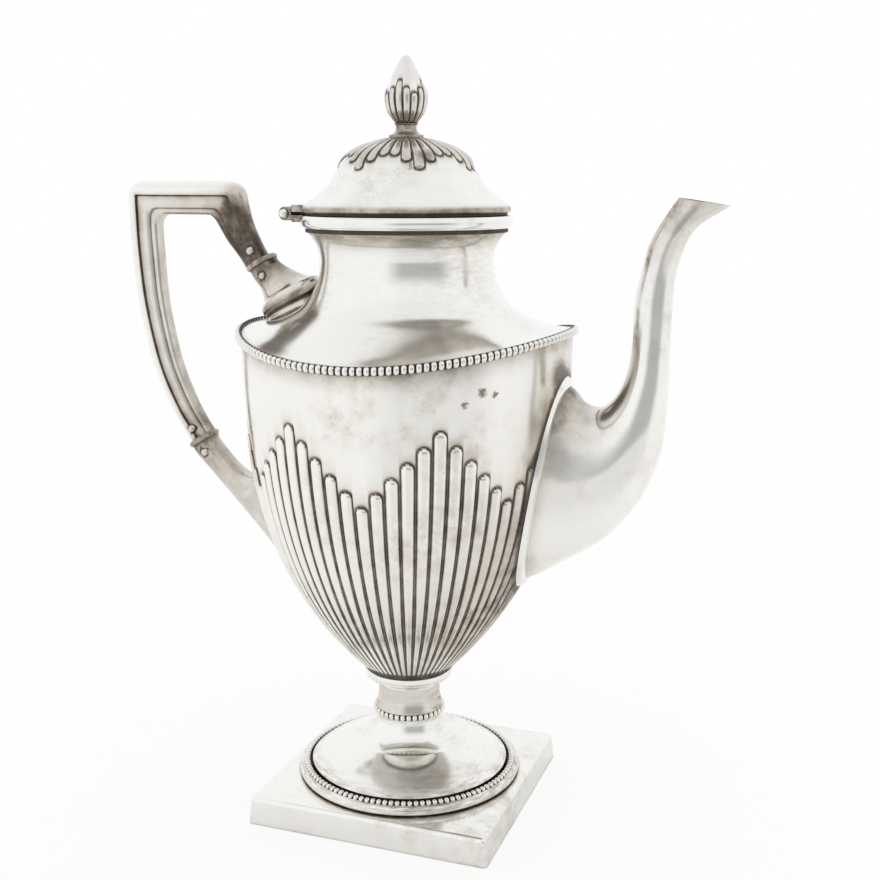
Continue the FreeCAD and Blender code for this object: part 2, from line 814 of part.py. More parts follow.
def joint(name):
    """Middle of a handle joint and its axis, down towards the pot."""
    lean = math.radians(length(f"{name}_joint_lean"))
    middle = spot_from_side(length(f"{name}_joint_reach"), length(f"{name}_joint_height"))
    return middle, VEC(math.sin(lean), 0, -math.cos(lean))


def make_insulator(label, middle, axis):
    ring = sized("insulator_radius")
    half = sized("insulator_thickness") / 2
    low = size(0) - half
    body = turned(label, [(0, low), (ring - half, low, half * CROWN), (ring - half, half), (0, half)])
    sketch = new_sketch(body, f"{label}_tenon_square", "XY_Plane")
    draw(sketch, square(sized("tenon_side") / 2))
    tenon = body.newObject("PartDesign::Pad", f"{label}_tenon")
    tenon.Profile = sketch
    tenon.Midplane = True
    tenon.setExpression("Length", "2 * Sizes.tenon_length")
    body.Placement = FreeCAD.Placement(middle, FreeCAD.Rotation(UP, axis))
    return body


def make_rivet(label, spot, reach):
    """Round-headed pin across the handle."""
    shank = sized("rivet_radius")
    head = sized("rivet_head")
    rise = sized("rivet_dome")
    dome = (head * head + rise * rise) / (rise * 2)
    back = size(0) - reach
    body = turned(label, [
        (0, back - rise, dome), (head, back), (shank, back), (shank, reach), (head, reach, dome),
        (0, reach + rise),
    ])
    body.Placement = FreeCAD.Placement(spot, FreeCAD.Rotation(VEC(1, 0, 0), -90))
    return body


def edged_ovals(rows):
    """Ovals from rows of outer edge and inner edge, each a reach and a height, and half width."""
    ovals = []
    for outer_reach, outer_height, inner_reach, inner_height, half in rows:
        outer = spot_from_side(outer_reach, outer_height)
        inner = spot_from_side(inner_reach, inner_height)
        ovals.append(((outer + inner) / 2, (inner - outer) / 2, half))
    return ovals


def joint_oval(name):
    """Mouth of a socket on its insulating ring."""
    middle, axis = joint(name)
    start = middle + axis * (length("insulator_thickness") / 2)
    return start, VEC(-axis.z, 0, axis.x) * length("socket_depth"), length("socket_half_width")


def oval_ring(oval, thickness):
    """Round moulding inside the edge of an oval."""
    centre, across, half = oval
    inset = thickness / 2
    long_end = centre + across * (1 - inset / across.Length)
    path = Part.Ellipse(long_end, centre + SIDEWAYS * (half - inset), centre).toShape()
    section = Part.Wire(Part.makeCircle(inset, long_end, SIDEWAYS))
    return Part.Wire(path).makePipeShell([section], True, True)


def make_upper_socket(walls, fittings):
    """Flared socket with a cushion roll and a flange on neck and shoulder."""
    flare = [
        (-1.9, 140.0, -13.2, 148.0, 6.2), (-3.2, 135.0, -23.6, 146.0, 9.4), (-4.0, 129.6, -24.7, 140.6, 9.6),
        (-8.3, 120.8, -29.8, 131.8, 9.6),
    ]
    roll, flange = (-2.2, 131.8, -25.4, 143.4, 10.5), (-3.3, 127.5, -25.9, 138.4, 10.4)
    thicknesses = (length("socket_roll"), length("socket_flange"))
    rings = [oval_ring(oval, thick) for oval, thick in zip(edged_ovals([roll, flange]), thicknesses)]
    solid = skinned([joint_oval("upper")] + edged_ovals(flare)).fuse(rings)
    for wall in walls:
        solid = solid.cut(wall)
    return outermost(solid.cut(fittings))


def make_lower_socket(urn, fittings):
    """Slim socket that widens to a plain root on the body."""
    rows = [
        (27.8, 74.7, 18.9, 80.4, 5.2), (18.6, 65.7, 10.6, 72.1, 5.3), (2.5, 49.4, 3.5, 69.4, 7.0),
        (-6.9, 38.9, -12.1, 71.9, 8.6), (-13.6, 36.4, -20.4, 72.4, 9.0),
    ]
    solid = skinned([joint_oval("lower")] + edged_ovals(rows))
    return outermost(solid.cut(urn).cut(fittings))


def grip_back(centre, out, share):
    """Half-round back of the grip."""
    half = SIDEWAYS * (length("grip_half_width") * share)
    crown = centre + out * (length("grip_back") * share)
    arc = Part.Arc(centre - half, crown, centre + half).toShape()
    return Part.Wire([arc, Part.makeLine(centre + half, centre - half)])


def grip_web(centre, out, share):
    """Web set into the back, one step in from its edges, that narrows to the inner edge."""
    step = length("grip_step")
    wide = SIDEWAYS * ((length("grip_half_width") - step) * share)
    slim = SIDEWAYS * (length("grip_inner") * share)
    outer, inner = centre + out * (step * share), centre - out * (length("grip_web") * share)
    return Part.Wire(chain([outer + wide, inner + slim, inner - slim, outer - wide, outer + wide]))


def square_out(along):
    """Outward direction in the handle's plane, to the left of the way along."""
    return VEC(-along.z, 0, along.x).normalize()


def mitre(first, second):
    return (first + second) / (1 + first.dot(second))


def grip_limb(corner, points, name, end_share, side):
    """Stations of a limb from a corner to its insulating ring: spot, outward direction and scale."""
    middle, axis = joint(name)
    end_out = VEC(-axis.z, 0, axis.x) * side
    end = middle - axis * (length("insulator_thickness") / 2) + end_out * length("grip_shift")
    spots = [corner] + [spot_from_side(reach, height) for reach, height, share in points] + [end]
    outs = [square_out(spots[1] - spots[0]) * side]
    outs += [square_out(after - before) * side for before, after in zip(spots, spots[2:])] + [end_out]
    shares = [1] + [share for reach, height, share in points] + [end_share]
    return list(zip(spots, outs, shares))


def corner_filling(corner, bar, limb, limb_out):
    """Piece that rounds the inner side of a corner between the top bar and a limb."""
    radius, sunk = length("grip_corner"), length("grip_step")
    half_angle = bar.getAngle(limb) / 2
    out = mitre(UP, limb_out)
    spot = corner - out * length("grip_web")
    reach = radius / math.tan(half_angle)
    bar_end, limb_end = spot + bar * reach, spot + limb * reach
    hollow = spot + (bar + limb).normalize() * (radius / math.sin(half_angle) - radius)
    back = chain([limb_end, limb_end + limb_out * sunk, spot + out * sunk, bar_end + UP * sunk, bar_end])
    face = Part.Face(Part.Wire([Part.Arc(bar_end, hollow, limb_end).toShape()] + back))
    half = SIDEWAYS * length("grip_inner")
    return face.translated(-half).extrude(half * 2)


def make_grip(fittings):
    """Angular grip: top bar and two limbs, rounded at the corners."""
    left, right = spot_from_side(48.7, 174.6), spot_from_side(9.0, 174.6)
    long_points = [(48.3, 153.6, 1.0), (46.5, 133.1, 0.95), (41.6, 110.6, 0.9), (34.9, 94.6, 0.85)]
    limbs = [
        grip_limb(left, long_points, "lower", 0.8, -1),
        grip_limb(right, [(6.7, 164.1, 0.88), (3.3, 156.9, 0.8)], "upper", 0.78, 1),
    ]
    pieces = [Part.makeLoft([grip_back(left, UP, 1), grip_back(right, UP, 1)], True, True)]
    webs = []
    for limb, bar in zip(limbs, (right - left, left - right)):
        corner, limb_out, share = limb[0]
        turn = math.degrees(math.atan2(limb_out.x, limb_out.z))
        pieces.append(Part.Face(grip_back(corner, UP, 1)).revolve(corner, SIDEWAYS, turn))
        pieces.append(Part.makeLoft([grip_back(*station) for station in limb], True, False))
        way = (limb[1][0] - corner).normalize()
        pieces.append(corner_filling(corner, bar.normalize(), way, limb_out))
        limb[0] = (corner, mitre(UP, limb_out), share)
        webs.append([grip_web(*station) for station in limb])
        pieces.append(Part.makeLoft(webs[-1], True, False))
    pieces.append(Part.makeLoft([web[0] for web in webs], True, True))
    solid = pieces[0].fuse(pieces[1:]).removeSplitter()
    return outermost(solid.cut(fittings))


def make_handle(urn, upper_walls):
    for name in ("upper", "lower"):
        middle, axis = joint(name)
        blank = make_insulator(f"{name}_insulator_blank", middle, axis)
        reach = axis * length("rivet_reach")
        grip_rivet = make_rivet(f"{name}_grip_rivet", middle - reach, sized("grip_rivet_half"))
        socket_rivet = make_rivet(f"{name}_socket_rivet", middle + reach, sized("socket_rivet_half"))
        drilled = combined("Part::Cut", f"{name}_insulator_drilled", blank, [grip_rivet])
        combined("Part::Cut", f"{name}_insulator", drilled, [socket_rivet])
    doc.recompute()

    def fittings(name, *kinds):
        return [doc.getObject(f"{name}_{kind}").Shape for kind in kinds]

    feature("upper_socket", make_upper_socket(upper_walls, fittings("upper", "insulator", "socket_rivet")))
    feature("lower_socket", make_lower_socket(urn, fittings("lower", "insulator", "socket_rivet")))
    held = fittings("upper", "insulator", "grip_rivet") + fittings("lower", "insulator", "grip_rivet")
    feature("handle_grip", make_grip(held))


NODES = [
    "square_plinth", "foot_moulding", "foot_bead_ring", "foot_dome", "stem_bead_ring", "stem", "body_collar",
    "urn_body", "shoulder_bead_ring", "shoulder", "neck", "neck_band", "mouth_rim", "lid_dome", "lid_bezel",
    "finial_base", "finial_bud", "finial_stud", "finial_nut", "hinge_pot_leaf", "hinge_lid_leaf", "hinge_pin",
    "spout", "spout_border", "upper_socket", "lower_socket", "upper_insulator", "lower_insulator",
    "handle_grip", "upper_grip_rivet", "upper_socket_rivet", "lower_grip_rivet", "lower_socket_rivet",
]


def build():
    make_plinth()
    make_foot()
    make_stem()
    make_neck()
    make_mouth()
    make_lid_fittings()
    feature("lid_dome", make_lid())
    feature("finial_bud", make_bud())
    make_hinge()
    doc.recompute()
    filled = urn_solid()
    feature("urn_body", make_urn())
    shoulder, below_shoulder = make_shoulder()
    feature("shoulder", shoulder)
    feature("shoulder_bead_ring", make_shoulder_bead_ring())
    feature("spout", make_spout(filled))
    feature("spout_border", make_spout_border(filled))
    make_handle(filled, [below_shoulder, neck_solid(), doc.getObject("shoulder_bead_ring").Shape])
    doc.recompute()


def check_and_write():
    failed = [item.Name for item in doc.Objects if "Invalid" in item.State or "Error" in item.State]
    if failed:
        raise RuntimeError(f"objects that failed: {failed}")
    os.makedirs("parts", exist_ok=True)
    for name in NODES:
        item = doc.getObject(name)
        item.Label = name
        shape = item.Shape
        if shape.isNull() or not shape.isValid() or len(shape.Solids) != 1:
            raise RuntimeError(f"{name}: not one valid solid ({len(shape.Solids)} solids)")
        shape.exportStep(f"parts/{name}.step")
        box = shape.BoundBox
        print(f"{name}: {shape.Volume:.0f} mm3, X {box.XMin:.1f} {box.XMax:.1f}, "
              f"Y {box.YMin:.1f} {box.YMax:.1f}, Z {box.ZMin:.1f} {box.ZMax:.1f}")


build()
check_and_write()
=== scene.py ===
# %% [markdown]
# # A silver coffee pot, from CAD frame to picture
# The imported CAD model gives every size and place. It is loaded first and never moved: new pieces are made
# around it, in metres and in the same frame (+Z up, spout towards +X, handle towards -X), and take the
# place of those CAD nodes that need more detail than the solid model holds.

# %% Load the frame
import json
import math

import bpy
import numpy as np
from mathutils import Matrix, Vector

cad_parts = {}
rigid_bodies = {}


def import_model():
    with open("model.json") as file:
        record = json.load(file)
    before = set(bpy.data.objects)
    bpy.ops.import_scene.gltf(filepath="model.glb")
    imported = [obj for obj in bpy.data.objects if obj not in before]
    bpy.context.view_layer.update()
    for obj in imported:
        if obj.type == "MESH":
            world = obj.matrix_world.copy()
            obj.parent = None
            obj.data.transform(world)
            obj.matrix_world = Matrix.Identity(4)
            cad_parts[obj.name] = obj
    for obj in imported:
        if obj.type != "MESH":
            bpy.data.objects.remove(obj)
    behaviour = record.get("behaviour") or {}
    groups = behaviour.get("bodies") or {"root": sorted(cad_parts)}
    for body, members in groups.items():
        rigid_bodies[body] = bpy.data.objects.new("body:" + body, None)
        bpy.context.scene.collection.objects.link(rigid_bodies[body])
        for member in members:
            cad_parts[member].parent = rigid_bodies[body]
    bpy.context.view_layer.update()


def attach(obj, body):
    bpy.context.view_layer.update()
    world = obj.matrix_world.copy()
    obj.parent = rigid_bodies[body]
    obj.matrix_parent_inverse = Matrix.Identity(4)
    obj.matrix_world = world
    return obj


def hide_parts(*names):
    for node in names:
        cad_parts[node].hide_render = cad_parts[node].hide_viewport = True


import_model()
MM = 0.001

# %% [markdown]
# ## Tools for modelling
# Most of the pot is turned work. On a lathe the shape comes from one outline, so here a single vertex is
# drawn out along the outline and spun round the axis. What isn't turned, such as spout and handle, is a row
# of cross sections: a grid of quads is laid over them, which keeps the flow of the faces along the piece.

# %% Smooth lines through a few given stations
def flow(stations, steps):
    """Rows of numbers along a smooth line through the given rows, with so many steps between two of them."""
    rows = np.array(stations, float)
    rows = np.vstack([2 * rows[0] - rows[1], rows, 2 * rows[-1] - rows[-2]])
    share = np.linspace(0, 1, steps, endpoint=False)[:, None]
    spans = []
    for a, b, c, d in zip(rows, rows[1:], rows[2:], rows[3:]):
        bend = 2 * a - 5 * b + 4 * c - d + share * (3 * (b - c) + d - a)
        spans.append(b + share / 2 * (c - a + share * bend))
    return np.vstack(spans + [rows[-2:-1]])


def eased(low, high, number):
    """0 below low, 1 above high, and a soft step between."""
    share = np.clip((number - low) / (high - low), 0, 1)
    return share * share * (3 - 2 * share)


# %% A new piece, and what every piece gets at the end
WELD = 0.002
CREASE = 35


def begin(name, primitive, **size):
    """Adds a primitive as the start of a named piece and opens it for editing."""
    bpy.ops.object.select_all(action="DESELECT")
    primitive(**size)
    piece = bpy.context.object
    piece.name = name
    bpy.ops.object.mode_set(mode="EDIT")
    bpy.ops.mesh.select_all(action="SELECT")
    return piece


def close(piece, body, replaced=(), crease=CREASE):
    """Welds the mesh, caps its ends, turns its faces outwards, smooths it and hangs it on its body."""
    bpy.ops.mesh.select_all(action="SELECT")
    bpy.ops.mesh.remove_doubles(threshold=WELD * MM)
    bpy.ops.mesh.fill_holes(sides=0)
    bpy.ops.mesh.select_all(action="SELECT")
    bpy.ops.mesh.normals_make_consistent(inside=False)
    bpy.ops.object.mode_set(mode="OBJECT")
    bpy.ops.object.shade_smooth_by_angle(angle=math.radians(crease))
    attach(piece, body)
    if replaced:
        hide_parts(*replaced)
    print(f"{piece.name}: {len(piece.data.polygons)} faces")
    return piece


def places(piece):
    """The vertices as an array, in millimetres."""
    spots = np.empty(3 * len(piece.data.vertices))
    piece.data.vertices.foreach_get("co", spots)
    return spots.reshape(-1, 3) / MM


def round_axis(piece):
    """The vertices, their angle round the axis, their distance from it and their height."""
    spots = places(piece)
    angle = np.arctan2(spots[:, 1], spots[:, 0])
    return spots, angle, np.hypot(spots[:, 0], spots[:, 1]), spots[:, 2]


def move_to(piece, spots):
    piece.data.vertices.foreach_set("co", (spots * MM).ravel())
    piece.data.update()


def paint(piece, name, values):
    """Stores one number for each vertex, for the material to read."""
    mark = piece.data.attributes.new(name, "FLOAT", "POINT")
    mark.data.foreach_set("value", np.clip(values, 0, 1).astype(np.float32).ravel())


# %% Turned pieces and wrapped grids
PLAIN_STEPS = 4
PLAIN_WEDGES = 36


def repeat_round(piece, count):
    """Copies the open piece round the axis, as many times as asked for."""
    bpy.ops.object.mode_set(mode="OBJECT")
    bpy.ops.object.empty_add(rotation=(0, 0, 2 * math.pi / count))
    turn = bpy.context.object
    bpy.ops.object.select_all(action="DESELECT")
    bpy.context.view_layer.objects.active = piece
    piece.select_set(True)
    array = piece.modifiers.new("round_the_axis", "ARRAY")
    array.count = count
    array.use_relative_offset = False
    array.use_object_offset = True
    array.offset_object = turn
    bpy.ops.object.modifier_apply(modifier=array.name)
    bpy.data.objects.remove(turn)
    bpy.ops.object.mode_set(mode="EDIT")


def spin_outline(name, outline, steps=PLAIN_STEPS, wedges=PLAIN_WEDGES):
    """A vertex drawn out along an outline (radius, height) in millimetres, spun to a wedge, and repeated."""
    piece = begin(name, bpy.ops.mesh.primitive_plane_add, size=MM)
    bpy.ops.mesh.merge(type="CENTER")
    outline = np.array(outline) * MM
    bpy.ops.transform.translate(value=(outline[0][0], 0, outline[0][1]))
    for across, up in np.diff(outline, axis=0):
        bpy.ops.mesh.extrude_vertices_move(TRANSFORM_OT_translate={"value": (across, 0, up)})
    bpy.ops.mesh.select_all(action="SELECT")
    bpy.ops.mesh.spin(steps=steps, angle=2 * math.pi / wedges, center=(0, 0, 0), axis=(0, 0, 1))
    repeat_round(piece, wedges)
    return piece


def wrap_grid(name, spots, **marks):
    """A grid primitive laid over rows of points (row, column, xyz) in millimetres, with painted marks."""
    rows, columns = spots.shape[:2]
    piece = begin(name, bpy.ops.mesh.primitive_grid_add, x_subdivisions=columns - 1, y_subdivisions=rows - 1)
    bpy.ops.object.mode_set(mode="OBJECT")
    move_to(piece, spots.reshape(-1, 3))
    for mark, values in marks.items():
        paint(piece, mark, values)
    bpy.ops.object.mode_set(mode="EDIT")
    return piece


# %% [markdown]
# ## The lobed body
# Such an urn is raised from sheet, and its lower part is chased into rounded lobes. They run up from the
# collar and end in a zigzag: each is one step longer than its neighbour until a peak is reached. One lobe
# could be modelled and copied round, but the lobes differ in length and taper to nothing at the foot. So
# the plain urn is spun with a column of vertices on every groove, and the lobes are pressed out by moving
# the vertices, as a chasing tool would. Each vertex also keeps how deep it lies in a groove, so that
# tarnish and painted shade can settle there.

# %% The outline of the plain urn
COLLAR_TOP = 51.2
BODY_HEIGHT = 125.3
SPIGOT = 16.1
BODY_RADIUS = 59.3
FULLNESS = 2.95
SADDLE = 3.9
RIM = COLLAR_TOP + BODY_HEIGHT


def urn_radius(height):
    share = np.clip((height - COLLAR_TOP) / BODY_HEIGHT, 0, 1)
    return SPIGOT + (BODY_RADIUS - SPIGOT) * (1 - (1 - share) ** FULLNESS)


print("urn from", COLLAR_TOP, "to", RIM, "mm, widest radius", BODY_RADIUS, "mm")


# %% The shape of a lobe, and how long each one is
LOBES = 68
PITCH = 2 * math.pi / LOBES
STEPS_PER_ZIGZAG = 5
VALLEY_INDEX = 16


def zigzag(index):
    """Steps of a lobe above the nearest valley, from 0 to 5."""
    period = 2 * STEPS_PER_ZIGZAG
    return np.abs((np.abs(index) - VALLEY_INDEX + STEPS_PER_ZIGZAG) % period - STEPS_PER_ZIGZAG)


def lobe_shape(across, past_end, half_width):
    """Height share of a round-ended lobe, depth in the groove beside it, and distance outside the lobe."""
    reach = np.hypot(across, np.clip(past_end / half_width + 1, 0, None))
    swell = np.sqrt(np.clip(1 - reach**2, 0, 1))
    outside = np.clip(reach - 1, 0, None) * half_width
    return swell, eased(0.78, 1.02, reach) * np.exp(-outside / 0.9), outside


# %% Spin the urn, with closer rows where the lobes end
COLUMNS = 12
WALL = 2.4
URN_FLOOR = 2
AXIS_BORE = 0.5
ENDS_LOW = 122
ENDS_HIGH = 154
BASE = COLLAR_TOP - URN_FLOOR
levels = np.concatenate([
    np.linspace(BASE, ENDS_LOW, 52, endpoint=False), np.linspace(ENDS_LOW, ENDS_HIGH, 44, endpoint=False),
    np.linspace(ENDS_HIGH, RIM + SADDLE, 10),
])
outside = [(urn_radius(level), level) for level in levels]
inside = [(urn_radius(level) - WALL, level) for level in np.linspace(RIM + SADDLE, COLLAR_TOP + 1, 14)]
outline = outside + inside + [(AXIS_BORE, COLLAR_TOP), (AXIS_BORE, BASE), outside[0]]
urn = spin_outline("lobed_urn", outline, COLUMNS, LOBES)
close(urn, "pot", ["urn_body"])

# %% [markdown]
# Coffee leaves the urn through the wall behind the spout. A cylinder across the wall is taken away from the
# urn with a boolean modifier. That is done before the lobes are pressed, while the wall is still plain.

# %% Drill the pouring hole
POUR_HOLE = 8.0
DRILL_LENGTH = 40
DRILL_SIDES = 50
POUR_LEVEL = COLLAR_TOP + 74.3
drill = begin(
    "drill", bpy.ops.mesh.primitive_cylinder_add, vertices=DRILL_SIDES, radius=POUR_HOLE * MM,
    depth=DRILL_LENGTH * MM, location=(BODY_RADIUS * MM, 0, POUR_LEVEL * MM), rotation=(0, math.pi / 2, 0),
)
bpy.ops.object.mode_set(mode="OBJECT")
bpy.ops.object.select_all(action="DESELECT")
bpy.context.view_layer.objects.active = urn
urn.select_set(True)
cut = urn.modifiers.new("pouring_hole", "BOOLEAN")
cut.operation = "DIFFERENCE"
cut.object = drill
bpy.ops.object.modifier_apply(modifier=cut.name)
bpy.ops.object.shade_smooth_by_angle(angle=math.radians(CREASE))
bpy.data.objects.remove(drill)
print("urn with its pouring hole:", len(urn.data.polygons), "faces")

# %% Where each vertex of the urn lies on its lobe
VALLEY_TOP = 126.5
STEP_RISE = 5.15
LOBE_FILL = 0.8
LOWER_FILL = 0.64
spots, angle, radius, height = round_axis(urn)
outer = radius > urn_radius(height) - 0.5
index = np.round(angle / PITCH)
fill = LOWER_FILL + (LOBE_FILL - LOWER_FILL) * eased(60, 110, height)
half_width = fill * PITCH * radius / 2
across = (angle / PITCH - index) * 2 / fill
top = VALLEY_TOP + STEP_RISE * zigzag(index)
swell, groove, beyond = lobe_shape(across, height - top, half_width)
print("lobes:", LOBES, "tops from", VALLEY_TOP, "to", VALLEY_TOP + STEP_RISE * STEPS_PER_ZIGZAG, "mm")

# %% Press out the lobes, but not under the root of the spout, and bend the rim to the saddle line
LOBE_DEPTH = 1.25
ROOT_MIDDLE = 126.1
ROOT_HALF_HEIGHT = 39.0
ROOT_HALF_WIDTH = 21.4
SADDLE_FROM = 156
root = np.hypot(spots[:, 1] / ROOT_HALF_WIDTH, (height - ROOT_MIDDLE) / ROOT_HALF_HEIGHT)
root = np.where(spots[:, 0] > 0, root, 9)
sink = LOBE_DEPTH * np.minimum(half_width / 2, 1) * (1 - eased(132, 170, height) * (1 - groove))
sink *= eased(1.0, 1.05, root)
lift = np.where(outer & (height > COLLAR_TOP), sink * (swell - 1), 0)
saddle_line = RIM + SADDLE * np.cos(2 * angle)
spots[:, :2] *= ((radius + lift) / radius)[:, None]
above = height > SADDLE_FROM
bend = (saddle_line[above] - SADDLE_FROM) / (RIM + SADDLE - SADDLE_FROM)
spots[above, 2] = SADDLE_FROM + (height[above] - SADDLE_FROM) * bend
move_to(urn, spots)
print("deepest groove:", round(-lift.min(), 2), "mm")

# %% Mark where the urn is brown and black: tarnish, and painted shade in the grooves, under the beads and round the lobes
below_rim = saddle_line - spots[:, 2]
seam = np.exp(-np.clip(root - 1, 0, 9) * 20 / 1.1)
# Painted shade: a dark halo round the tips of the lobes.
shade_round_lobe_tips = np.exp(-beyond / 2.5) * eased(0, 0.5, beyond) * eased(112, 120, height)
# Darker under the beads: partly brown film, partly painted shade.
film_and_shade_under_beads = eased(11, 0, below_rim) ** 2
bead_line = eased(2.4, 1.4, below_rim)
collar_line = eased(COLLAR_TOP + 3.2, COLLAR_TOP + 2.2, height)
near_root = np.exp(-np.abs(root - 1) * 3.5)
below_root = eased(2.6, 1.2, root) * eased(140, 100, height)
film = 0.3 * shade_round_lobe_tips + 0.6 * film_and_shade_under_beads + 0.5 * near_root + 0.3 * below_root
# Black in the grooves and under the beads, partly dirt and partly painted shade; black at the seam round the
# spout and at the collar; the inside is darker all over.
grime = np.max([groove * eased(1.0, 1.03, root), 0.9 * seam, 0.8 * bead_line, 0.9 * collar_line], axis=0)
paint(urn, "grime", np.where(outer, grime, 0.3))
paint(urn, "film", np.where(outer, film, 0.5))
print("grime on", round(100 * np.mean(grime[outer] > 0.5)), "percent of the outside")

# %% [markdown]
# ## The lid and its bud
# The lid repeats the body's lobes as rays round the finial, and the bud wears a calyx of lobes. Both look
# chased, as the body does, so they are spun and pressed out in the same way.

# %% Spin the lid
LID_BASE = 220.3
LID_TOP = 245.8
LID_BORE = 1.6
RAYS = LOBES // 2
RAY_PITCH = 2 * math.pi / RAYS
lid_profile = flow([
    (6.5, LID_TOP), (13.1, 244.3), (19.7, 241.4), (23.4, 238.1), (25, 234.5), (28.1, 229.1), (33.25, 225.0),
    (36.15, 222.9),
], 9)
lid_edge = [(36.75, 221.9), (36.75, 220.8), (36.25, LID_BASE), (32.2, LID_BASE)]
lid_inside = [
    (31.5, 224.4), (27.2, 228.6), (24.0, 234.3), (22.5, 237.6), (19.0, 240.5), (12.8, 243.3),
    (LID_BORE, 244.8),
]
middle = [(LID_BORE, LID_TOP)]
outline = middle + [tuple(row) for row in lid_profile] + lid_edge + lid_inside + middle
lid = spin_outline("rayed_lid", outline, COLUMNS, RAYS)
close(lid, "lid", ["lid_dome"])

# %% Press out its rays
RAY_FILL = 0.84
RAY_DEPTH = 0.8
RAY_ENDS = [239.7, 237.7, 235.0]
RAYS_FROM = 233
spots, angle, radius, height = round_axis(lid)
profile_height = np.interp(radius, lid_profile[:, 0], lid_profile[:, 1])
outer = (radius > 6.4) & (height > profile_height - 0.4)
index = np.floor(angle / RAY_PITCH)
across = (angle / RAY_PITCH - index - 0.5) * 2 / RAY_FILL
ray_end = np.interp(zigzag(2 * index + 1), [1, 3, 5], RAY_ENDS)
half_width = RAY_FILL / 2 * RAY_PITCH * radius
swell, groove, beyond = lobe_shape(across, (ray_end - height) * 1.25, half_width)
sink = np.where(outer & (height > RAYS_FROM), RAY_DEPTH * np.minimum(half_width / 2, 1), 0)
full = eased(RAYS_FROM, RAYS_FROM + 3, height)
sink *= full + (1 - full) * groove
lift = sink * (swell - 1)
down, inward = np.clip(1 - (radius - 16) / 16, 0.35, 1), np.clip((radius - 12) / 16, 0, 0.9)
spots[:, 2] += lift * down
spots[:, :2] *= (1 + lift * inward / np.maximum(radius, 1))[:, None]
move_to(lid, spots)
# Black in the grooves between the rays: partly dirt, partly painted shade.
paint(lid, "grime", np.where(outer, groove, 0))
film = 0.35 * np.exp(-beyond / 2) * eased(232, 236, height) + 0.3 * eased(13, 8, radius)
# Painted shade: darker below the lid's lowest roll. The inside is darker all over.
film += 0.12 * eased(224, 222, height)
paint(lid, "film", np.where(outer, film, 0.6))
print("rays:", RAYS, "ends from", min(RAY_ENDS), "to", max(RAY_ENDS), "mm")

# %% Spin the bud
BUD_LOBES = 16
BUD_PITCH = 2 * math.pi / BUD_LOBES
BUD_COLUMNS = 10
BUD_BASE = 250.6
bud_profile = flow([
    (3.7, BUD_BASE), (5.2, 252.4), (6.9, 255.0), (7.6, 258.9), (7.2, 262.0), (6.3, 263.8), (4.6, 267.2),
    (2.3, 271.6), (1.3, 273.0), (0, 273.6),
], 6)
outline = [(0, BUD_BASE)] + [tuple(row) for row in bud_profile]
bud = spin_outline("calyx_bud", outline, BUD_COLUMNS, BUD_LOBES)
close(bud, "lid", ["finial_bud"])

# %% Press out its calyx
CALYX_FILL = 0.84
CALYX_DEPTH = 0.6
CALYX_TOPS = [264.7, 262.3, 260.5]
spots, angle, radius, height = round_axis(bud)
radius = np.maximum(radius, 0.01)
index = np.round(angle / BUD_PITCH)
across = (angle / BUD_PITCH - index) * 2 / CALYX_FILL
top = np.interp(np.abs((index + 2) % 4 - 2), [0, 1, 2], CALYX_TOPS)
half_width = CALYX_FILL / 2 * BUD_PITCH * radius
swell, groove, beyond = lobe_shape(across, height - top, half_width)
sink = CALYX_DEPTH * np.minimum(half_width / 1.2, 1) * (1 - eased(261, 268, height) * (1 - groove))
sink = np.where(height > 251, sink, 0)
spots[:, :2] *= (1 + sink * (swell - 1) / radius)[:, None]
move_to(bud, spots)
# Black in the grooves of the calyx: partly dirt, partly painted shade.
paint(bud, "grime", groove * eased(250.5, 251.5, height))
paint(bud, "film", 0.4 * eased(256, 251, height) + 0.25 * np.exp(-beyond) + 0.12 * eased(262, 266, height))
print("calyx lobes:", BUD_LOBES, "tops from", min(CALYX_TOPS), "to", max(CALYX_TOPS), "mm")

# %% [markdown]
# ## The pearl beads
# Three rings of pearls run round the pot. A silversmith rolls such beads into a strip and solders it on.
# Here one pearl is a cube rounded most of the way to a ball, with few faces because there are hundreds. An
# array round the axis repeats it, and the ring on the shoulder is then lifted to the saddle line. Each ring
# sits in a narrow black bed, and the gaps between the pearls are black: painted shade, partly dirt.

# %% A ring of pearls in its bed
def lift_to_saddle(piece, saddle):
    bpy.ops.object.mode_set(mode="OBJECT")
    spots, angle = round_axis(piece)[:2]
    spots[:, 2] += saddle * np.cos(2 * angle)
    move_to(piece, spots)
    bpy.ops.object.mode_set(mode="EDIT")


def pearl_ring(name, node, count, ring_radius, level, half_size, bed, saddle=0):
    """Pearls with half sizes (outwards, along the ring, up) on a bed outline, in place of a CAD ring."""
    pearls = begin(f"{name}_pearls", bpy.ops.mesh.primitive_cube_add, size=2 * MM)
    bpy.ops.mesh.subdivide(number_cuts=2)
    bpy.ops.transform.tosphere(value=0.8)
    bpy.ops.transform.resize(value=half_size)
    bpy.ops.transform.translate(value=(ring_radius * MM, 0, level * MM))
    repeat_round(pearls, count)
    lift_to_saddle(pearls, saddle)
    close(pearls, "pot", crease=60)
    around = round_axis(pearls)[1] * count / (2 * math.pi)
    # Painted shade: black in the gaps between the pearls, partly dirt.
    paint(pearls, "grime", eased(0.34, 0.46, np.abs(around - np.round(around))))
    ring = spin_outline(f"{name}_bed", bed + bed[:1])
    lift_to_saddle(ring, saddle)
    close(ring, "pot", [node])


